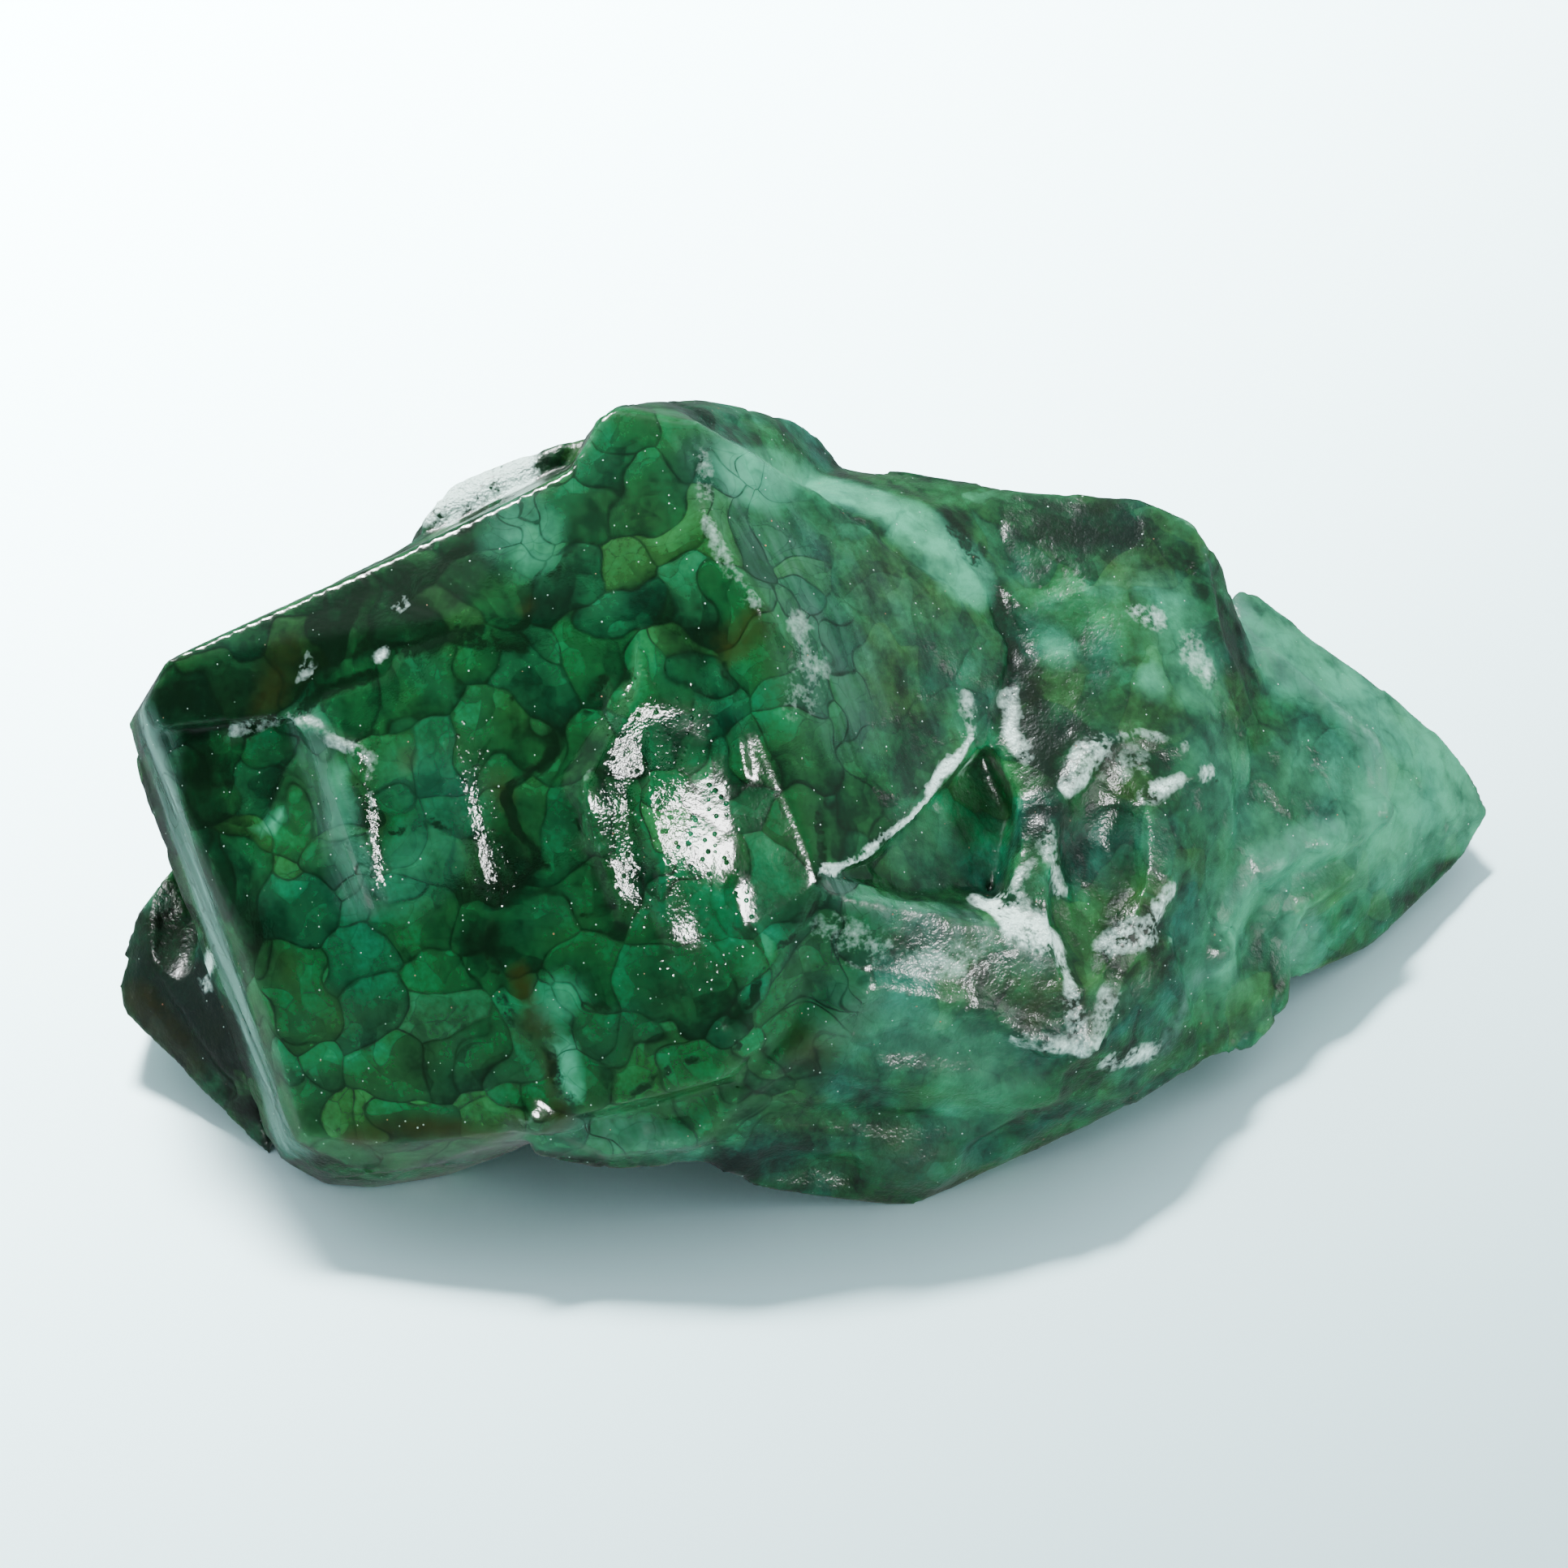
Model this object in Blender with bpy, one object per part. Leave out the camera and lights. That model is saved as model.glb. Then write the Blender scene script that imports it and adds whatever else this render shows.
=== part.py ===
"""A raw emerald crystal: one broken, glassy green stone lying on a flat break.

The stone is drawn with its one large face lying flat and facing up: X runs along the stone, Y up the
large face and Z straight out of it. It is then tipped forward onto the break that it rests on, with
that break on the ground plane and the origin under the middle of the stone's box.
Every size below is in millimetres.
"""

from math import radians

import bmesh
import bpy
from mathutils import Euler, Matrix, Vector

MM = 0.001

# Driving dimensions.
FACE_TILT_DEG = 45.0  # the large face leans back this far from upright
FACE_HEIGHT = 17.1  # how high the middle of the large face lies above the ground
STONE_MIDDLE_X = 1.1  # the middle of the stone's length, counted from the middle of the large face
STONE_MIDDLE_Y = 9.9  # the same for its width
GROUND_BLOCK = 90.0  # the block that cuts the resting break is wider than the stone

# The large face is a shallow dome, highest near its right edge.
DOME_TOP = 0.7
DOME_PEAK_X = -1.0
DOME_FALL_ALONG = 0.0065
DOME_FALL_UP = 0.018


def on_face(along, up, above=0.0):
    """A point of the large face, or one standing above it."""
    fall = DOME_FALL_ALONG * (along - DOME_PEAK_X) ** 2 + DOME_FALL_UP * up**2
    return (along, up, DOME_TOP - fall + above)


# The lumps that the stone is grown from. Each is the tightest closed shape round its corners,
# which are given as (along, up the face, out of the face).
LUMPS = {
    # The big prism on the left, with the large face, the bevel at its left end
    # and the second face, which falls away to the right.
    "prism": [
        # outline of the large face, from the top left corner round to the top
        on_face(-22.6, 4.5), on_face(-23.4, 2.8), on_face(-20.3, -3.8), on_face(-18.9, -8.2),
        on_face(-17.6, -12.9), on_face(-13.9, -13.1), on_face(-9.7, -12.6), on_face(-2.5, -10.8),
        on_face(1.3, -3.5), on_face(-0.9, 6.5), on_face(-2.8, 9.6), on_face(-3.1, 13.2),
        on_face(-6.1, 13.8),
        # points that carry its dome
        on_face(-18, -7), on_face(-18, -1), on_face(-12, -8), on_face(-12, 0), on_face(-12, 6),
        on_face(-6, -8), on_face(-6, -1), on_face(-6, 6), on_face(-1, -5), on_face(-1, 2),
        # outer edge of the left bevel
        (-24.3, 2.2, -6.5), (-23.9, 0.3, -6.8), (-22.2, -3.6, -7.5), (-21.0, -6.6, -8.0),
        (-19.3, -13.2, -9.0), (-18.8, -14.0, -9.0), (-17.1, -15.0, -9.2), (-15.5, -15.2, -9.4),
        (-12.9, -14.7, -9.4),
        # second face
        (-4.4, 14.2, -6.0), (-1.8, 12.1, -3.4), (2.8, 9.6, -4.6), (6.4, 6.9, -6.0),
        (8.3, 5.3, -6.6), (7.4, 1.2, -5.2), (6.3, -4.0, -2.8),
        # back and underside
        (-21.0, 4.6, -14.0), (-14.5, 8.0, -21.0), (-3.0, 10.8, -22.0), (3.0, 9.4, -20.0),
        (-19.0, -1.0, -23.0), (-11.0, 3.8, -28.5), (1.0, 4.2, -29.0), (7.0, 1.0, -25.0),
        (-18.0, -9.0, -16.0), (-2.0, -9.0, -15.6), (7.0, -10.0, -15.0),
    ],
    # The long body that runs through all the others and fills the back between them.
    "body": [
        (-16.0, -6.0, -8.0), (-12.0, 8.0, -8.0), (0.0, 11.2, -9.6), (7.0, 9.8, -11.2),
        (15.4, 8.2, -15.0), (20.4, 4.2, -17.4), (24.0, 0.6, -18.6), (22.0, -4.8, -18.0),
        (16.5, -7.0, -13.0), (12.0, -9.0, -9.0), (5.0, -6.0, -6.0), (-12.0, 4.0, -27.5),
        (1.0, 7.6, -26.5), (9.0, 7.4, -24.0), (17.0, 5.0, -21.6), (23.0, 1.4, -21.4),
        (21.0, -3.6, -21.2), (14.0, -4.0, -21.0), (8.0, 0.0, -25.6), (15.0, 0.0, -25.0),
    ],
    # The slab on the slope behind the large face. Its front edge shows over the large face.
    "slab": [
        (-13.5, 9.8, -9.0), (-12.5, 11.1, -9.6), (-9.9, 12.2, -9.6), (-8.0, 12.7, -9.0),
        (-4.5, 13.4, -9.0), (-3.6, 12.6, -18.5), (-6.0, 11.4, -25.4), (-9.0, 9.8, -28.0),
        (-12.6, 8.8, -25.5), (-14.6, 8.8, -17.0), (-13.0, 5.0, -12.0), (-5.0, 6.0, -12.0),
        (-6.0, 3.0, -29.5), (-12.0, 2.0, -28.5),
    ],
    # The thin rim that stands up behind the top corner.
    "rim": [
        (-4.3, 14.2, -6.4), (-2.0, 14.1, -8.0), (0.4, 13.7, -10.0), (1.3, 13.1, -11.0),
        (2.0, 12.0, -11.0), (2.5, 11.0, -14.0), (-4.0, 12.6, -14.0), (-3.5, 8.0, -10.0),
        (2.0, 8.0, -8.0), (-1.7, 12.4, -4.6), (-3.6, 13.6, -4.4),
    ],
    # The low saddle between the prism and the middle lump.
    "saddle": [
        (2.0, 11.9, -11.0), (4.7, 11.7, -11.0), (7.3, 11.3, -11.0), (9.0, 10.9, -11.5),
        (2.6, 9.5, -4.9), (6.3, 6.8, -6.3), (8.2, 5.3, -6.9), (9.0, 7.0, -8.0), (9.0, 6.0, -18.0),
        (2.0, 6.0, -18.0), (0.0, 10.6, -6.0),
    ],
    # The middle lump, right of the groove.
    "middle": [
        (8.3, 11.0, -11.0), (13.2, 10.8, -11.0), (15.3, 9.8, -11.0), (16.4, 8.1, -12.0),
        (17.3, 5.4, -12.0), (18.2, 3.9, -12.5), (8.3, 9.4, -9.2), (8.9, 5.0, -7.2),
        (6.4, 1.0, -5.4), (7.4, 5.0, -7.2), (6.0, -3.4, -3.8), (9.2, 0.8, -5.4),
        (9.8, -2.0, -3.6), (10.4, -4.6, -2.7), (10.9, -7.4, -3.2),
        (11.0, -9.6, -4.4), (14.0, -3.6, -5.2), (15.3, 0.8, -6.8), (16.8, -1.0, -8.6),
        (13.0, 6.0, -7.8), (16.0, 4.5, -9.0), (8.0, 9.5, -19.0), (14.0, 8.2, -18.5),
        (18.0, 3.0, -18.0), (8.0, 2.0, -27.0), (16.0, -2.0, -23.0), (5.0, 3.0, -14.0),
        (15.7, -6.0, -8.3), (15.8, -9.6, -10.6), (16.0, -8.0, -16.5), (8.0, -8.0, -14.0),
        (5.0, -8.0, -8.0),
    ],
    # The lower front, whose right corner stands on the ground.
    "apron": [
        (1.4, -3.8, 0.3), (4.4, -4.4, -0.8), (7.3, -5.0, -1.7), (9.8, -6.4, -2.6),
        (14.4, -5.6, -5.8), (14.5, -6.7, -6.2), (11.1, -9.7, -4.3), (9.1, -9.1, -3.6),
        (4.0, -8.6, -1.9), (-2.9, -13.0, -4.8), (-6.8, -14.0, -5.8), (-9.3, -13.8, -5.8),
        (-9.5, -12.8, -4.2), (2.8, -15.5, -8.8), (4.7, -15.8, -8.6), (6.8, -14.3, -8.0),
        (10.1, -13.0, -9.0), (13.2, -12.0, -10.0), (15.7, -10.5, -11.0), (13.0, -10.5, -15.0),
        (2.0, -13.0, -13.0), (0.0, -4.0, -8.0), (14.0, -4.6, -10.0), (-8.0, -11.0, -8.0),
    ],
    # The small knob low on the right.
    "knob": [
        (15.9, -6.1, -8.5), (16.5, -7.4, -9.6), (15.9, -10.3, -10.8), (17.6, -10.0, -12.0),
        (18.6, -9.0, -13.0), (19.2, -7.4, -14.0), (18.1, -8.2, -11.8), (18.0, -4.7, -11.5),
        (14.0, -9.8, -12.0), (14.5, -5.0, -12.0), (18.0, -5.0, -15.0), (16.0, -8.5, -15.0),
    ],
    # The pointed right end, the thinnest part of the stone.
    "point": [
        (17.3, 7.4, -16.0), (18.0, 7.2, -16.2), (19.7, 5.9, -16.6), (22.9, 3.6, -17.6),
        (25.0, 2.2, -18.6), (26.1, 1.1, -19.2), (27.3, -1.1, -20.0), (26.2, -2.9, -20.0),
        (24.4, -4.5, -19.0), (22.5, -6.2, -17.4), (20.9, -6.9, -16.4), (19.2, -7.4, -14.6),
        (17.5, 4.2, -12.4), (19.8, 2.6, -12.8), (21.5, 1.5, -13.6), (21.5, -1.0, -13.4),
        (20.1, -1.9, -12.0), (17.5, -2.8, -9.6), (16.0, -4.4, -8.3), (15.5, -1.0, -8.4),
        (24.4, 1.0, -17.4), (23.6, -3.2, -16.6), (17.5, 6.0, -19.0), (20.5, 3.0, -20.5),
        (25.6, 0.0, -22.0), (17.0, 0.0, -22.5), (22.5, -5.6, -19.0), (15.0, 2.0, -14.0),
        (15.0, -6.0, -13.0),
    ],
    # The foot that juts out under the left bevel.
    "foot": [
        (-22.9, -2.9, -10.0), (-24.4, -5.0, -11.0), (-25.1, -7.6, -11.5), (-24.9, -8.6, -11.7),
        (-22.1, -10.9, -11.4), (-19.3, -14.0, -10.3), (-22.3, -4.7, -9.0), (-20.4, -10.1, -8.9),
        (-22.5, -3.5, -15.5), (-24.0, -7.0, -15.5), (-18.0, -10.5, -14.0), (-16.0, -4.0, -12.0),
    ],
}

# Flat-sided breaks. Each takes away what lies inside the tightest closed shape round its corners:
# first those of its floor, then those of its mouth, which stand clear of the stone.
BREAKS = {
    # The break along the top left edge of the large face, which leaves the top corner standing.
    "roof": [
        (-25.0, 3.2, 1.5), (-14.2, 8.1, 1.5), (-7.8, 11.2, 1.5), (-7.9, 11.9, -9.0),
        (-14.2, 8.7, -9.0), (-25.0, 3.9, -9.0),
        (-25.0, 19.0, 1.5), (-6.6, 13.2, 1.5), (-6.8, 14.4, -9.0), (-25.0, 19.0, -9.0),
    ],
    # The lower terrace beside the left bevel, under a short ledge and left of a long step.
    "terrace": [
        on_face(-24.8, 1.7, -0.6), on_face(-17.9, 2.4, -0.75), on_face(-16.2, -3.4, -0.05),
        on_face(-20.0, -5.6, 0.0), on_face(-22.0, -3.4, -0.3),
        on_face(-25.8, 2.1, 1.2), on_face(-17.3, 2.8, 1.0), on_face(-14.8, -3.8, 1.0),
        on_face(-20.6, -6.6, 1.0), on_face(-23.4, -4.2, 1.2),
    ],
    # The valley under the sharp edge of the second face, cut in two strokes, and the hole at its end.
    "valley_tip": [
        (1.5, -3.3, -0.2), (4.2, -2.4, -3.2), (4.6, -3.9, -2.6),
        (1.1, -3.1, 3.0), (4.4, -1.9, 3.0), (4.6, -4.4, 3.0), (1.3, -3.7, 3.0),
    ],
    "valley": [
        (3.0, -3.0, -1.9), (7.4, 1.2, -6.8), (8.4, -1.2, -6.4), (7.8, -3.8, -5.4), (4.4, -4.0, -2.6),
        (2.6, -3.0, 3.0), (6.8, 2.2, 3.0), (9.0, 1.6, 0.0), (9.9, -2.6, 3.0), (9.5, -5.9, 3.0),
        (4.4, -4.5, 3.0),
    ],
    "valley_hole": [
        (7.6, -3.9, -7.0), (6.9, -3.3, -1.0), (6.9, -4.6, -1.0), (8.3, -4.5, -1.0), (8.3, -3.3, -1.0),
    ],
    # The undercut along the lower front, where the stone stands clear of the ground.
    "undercut": [
        (-12.4, -14.3, -9.8), (-9.2, -13.5, -6.6), (-2.9, -13.6, -6.2), (1.8, -14.7, -9.4),
        (-11.0, -11.0, -14.0), (1.0, -11.0, -14.0),
        (-12.4, -18.0, -11.0), (-9.2, -18.0, -6.0), (-2.9, -18.0, -5.2), (1.8, -18.0, -9.0),
    ],
    # Ledges of the back.
    "back_step": [
        (-6.0, -6.0, -26.6), (-4.0, 3.8, -28.6), (-1.5, 9.2, -25.6), (3.0, 9.0, -21.6),
        (10.0, 1.0, -23.6), (8.0, -6.0, -23.6),
        (-8.0, -6.0, -40.0), (-5.0, 17.0, -36.0), (6.0, 17.0, -28.0), (14.0, 3.0, -30.0),
        (12.0, -6.0, -36.0),
    ],
    "back_corner": [
        (-17.6, 5.6, -17.0), (-23.0, 1.5, -16.0), (-20.5, -3.0, -22.6), (-13.5, 1.6, -27.4),
        (-14.2, 6.2, -23.4), (-19.0, 14.0, -20.0), (-28.0, 4.0, -20.0), (-16.0, 14.0, -30.0),
    ],
}

# Shell-shaped bites: the middle of each, its three radii, and its turns about the stone's length,
# about the line up the large face and in the plane of the large face, in degrees.
BITES = [
    ((12.2, -2.4, -3.0), (2.2, 5.6, 2.8), (-8, 24, -14)),  # the kite-shaped hollow in the middle lump
    ((8.3, 6.6, -6.2), (0.8, 2.4, 1.6), (0, 0, 24)),  # the groove beside the second face
    ((18.6, -5.2, -9.4), (2.4, 3.2, 1.5), (0, 20, 0)),  # the shallow dish above the lower fold of the tip
    ((19.4, -0.6, -9.2), (2.8, 2.4, 1.8), (0, 15, 0)),
    ((13.6, 8.4, -5.0), (3.6, 2.6, 2.6), (0, 0, 0)),
    ((-23.6, -4.6, -8.8), (2.6, 3.2, 1.4), (0, 50, 0)),
    ((13.0, 11.6, -21.6), (6.0, 4.6, 4.4), (10, 0, 20)),
    ((24.5, 4.6, -24.0), (5.2, 4.0, 4.2), (0, 0, 0)),
    ((5.5, 9.6, -28.6), (4.6, 4.2, 5.4), (0, 0, 0)),
    ((-26.2, -0.5, -13.0), (3.4, 3.0, 3.4), (0, 0, 0)),
    ((-8.0, 14.6, -25.6), (5.0, 4.0, 4.6), (0, 0, 0)),
]
BITE_ROUNDNESS = 3

EMERALD_GREEN = (0.015, 0.13, 0.055, 1.0)


def clear_scene():
    for old in list(bpy.data.objects):
        bpy.data.objects.remove(old)


def collection(name):
    made = bpy.data.collections.new(name)
    bpy.context.scene.collection.children.link(made)
    return made


def tip_forward():
    """The turn and the shift that bring the stone from its drawing pose to its resting pose."""
    shift = Vector((-STONE_MIDDLE_X, -STONE_MIDDLE_Y, FACE_HEIGHT)) * MM
    return Matrix.Translation(shift) @ Matrix.Rotation(radians(FACE_TILT_DEG), 4, "X")


def add_mesh(name, fill, pose, home):
    """A new object in this pose, whose mesh fill makes through bmesh."""
    mesh = bpy.data.meshes.new(name)
    shape = bmesh.new()
    fill(shape)
    bmesh.ops.recalc_face_normals(shape, faces=shape.faces)
    shape.to_mesh(mesh)
    shape.free()
    made = bpy.data.objects.new(name, mesh)
    made.matrix_world = pose
    home.objects.link(made)
    return made


def add_helper(name, fill, pose, home):
    helper = add_mesh(name, fill, pose, home)
    helper.hide_render = True
    helper.display_type = "WIRE"
    return helper


def hull_round(corners):
    """Fills a mesh with the tightest closed shape round these corners."""

    def fill(shape):
        for corner in corners:
            shape.verts.new(Vector(corner) * MM)
        bmesh.ops.convex_hull(shape, input=shape.verts)
        loose = [vert for vert in shape.verts if not vert.link_faces]
        bmesh.ops.delete(shape, geom=loose, context="VERTS")

    return fill


def egg(radii):
    """Fills a mesh with a ball stretched to these radii."""

    def fill(shape):
        bmesh.ops.create_icosphere(shape, subdivisions=BITE_ROUNDNESS, radius=MM)
        bmesh.ops.scale(shape, vec=radii, verts=shape.verts)

    return fill


def block(size):
    """Fills a mesh with a cube of this size."""

    def fill(shape):
        bmesh.ops.create_cube(shape, size=size * MM)

    return fill


def boolean(target, other, operation):
    step = target.modifiers.new(other.name, "BOOLEAN")
    step.operation = operation
    step.object = other


def grow_stone(home, helpers):
    """The lumps as one body: the prism, with the others joined to it."""
    pose = tip_forward()
    prism, *others = LUMPS
    stone = add_mesh("emerald_crystal", hull_round(LUMPS[prism]), pose, home)
    for name in others:
        boolean(stone, add_helper(name, hull_round(LUMPS[name]), pose, helpers), "UNION")
    return stone


def break_stone(stone, helpers):
    """Takes the flat-sided breaks and the shell-shaped bites out of the stone."""
    pose = tip_forward()
    for name, corners in BREAKS.items():
        boolean(stone, add_helper(name, hull_round(corners), pose, helpers), "DIFFERENCE")
    for number, (middle, radii, turns) in enumerate(BITES, 1):
        place = Matrix.Translation(Vector(middle) * MM)
        turn = Euler([radians(degrees) for degrees in turns]).to_matrix().to_4x4()
        bite = add_helper(f"bite_{number:02d}", egg(radii), pose @ place @ turn, helpers)
        boolean(stone, bite, "DIFFERENCE")


def cut_resting_break(stone, helpers):
    """Cuts the underside off flat at the ground."""
    under_ground = Matrix.Translation(Vector((0, 0, -GROUND_BLOCK / 2)) * MM)
    ground = add_helper("ground", block(GROUND_BLOCK), under_ground, helpers)
    boolean(stone, ground, "DIFFERENCE")


def emerald_material():
    material = bpy.data.materials.new("emerald")
    material.use_nodes = True
    shader = material.node_tree.nodes["Principled BSDF"]
    shader.inputs["Base Color"].default_value = EMERALD_GREEN
    shader.inputs["Roughness"].default_value = 0.2
    shader.inputs["Metallic"].default_value = 0.0
    shader.inputs["IOR"].default_value = 1.58
    return material


def main():
    clear_scene()
    home = collection("raw_emerald_crystal")
    helpers = collection("lumps_and_breaks")
    stone = grow_stone(home, helpers)
    break_stone(stone, helpers)
    cut_resting_break(stone, helpers)
    stone.data.materials.append(emerald_material())


main()
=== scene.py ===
import math

import bmesh
import bpy
import numpy as np
from mathutils import Matrix, Vector
from mathutils.bvhtree import BVHTree


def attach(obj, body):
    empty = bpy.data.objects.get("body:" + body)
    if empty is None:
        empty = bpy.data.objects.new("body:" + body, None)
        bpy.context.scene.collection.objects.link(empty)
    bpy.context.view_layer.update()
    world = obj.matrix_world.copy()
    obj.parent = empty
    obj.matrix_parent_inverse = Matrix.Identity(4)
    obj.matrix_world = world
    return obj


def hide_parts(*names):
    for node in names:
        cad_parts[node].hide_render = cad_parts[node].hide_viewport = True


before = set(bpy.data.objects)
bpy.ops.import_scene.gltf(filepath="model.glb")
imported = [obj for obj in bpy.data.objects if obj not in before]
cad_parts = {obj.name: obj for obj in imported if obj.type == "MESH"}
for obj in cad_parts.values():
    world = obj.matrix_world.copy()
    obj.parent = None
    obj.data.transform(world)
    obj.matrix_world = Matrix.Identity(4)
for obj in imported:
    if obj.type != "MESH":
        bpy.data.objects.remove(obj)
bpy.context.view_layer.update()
mm = 0.001

# The camera looks straight at the large face, which leans back at 45 degrees.
view = {
    "target": (-1.1, -9.9, 17.1),  # mm, the middle of the large face
    "elevation": 45,  # degrees
    "distance": 300,  # mm
    "lens": 190.07,
    "sensor": 36,
    "frameSide": 1932,  # places given below as (across, down) are pixels of this frame
}

elevation = math.radians(view["elevation"])
viewForward = Vector((0, math.cos(elevation), -math.sin(elevation)))
viewRight = Vector((1, 0, 0))
viewUp = viewRight.cross(viewForward)
viewTarget = Vector(view["target"])
viewEye = viewTarget - viewForward * view["distance"]


def toLinear(hexColour):
    channels = [int(hexColour[i:i + 2], 16) / 255 for i in (1, 3, 5)]
    linear = [c / 12.92 if c <= 0.04045 else ((c + 0.055) / 1.055) ** 2.4 for c in channels]
    return (*linear, 1.0)


def addNode(tree, kind, inputs=None, **settings):
    # one node with its settings; an input is a value, a socket, or a node whose first output is used
    node = tree.nodes.new(kind)
    for name, value in settings.items():
        setattr(node, name, value)
    for slot, value in (inputs or {}).items():
        if isinstance(value, bpy.types.Node):
            value = value.outputs[0]
        if isinstance(value, bpy.types.NodeSocket):
            tree.links.new(value, node.inputs[slot])
        else:
            node.inputs[slot].default_value = value
    return node


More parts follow.
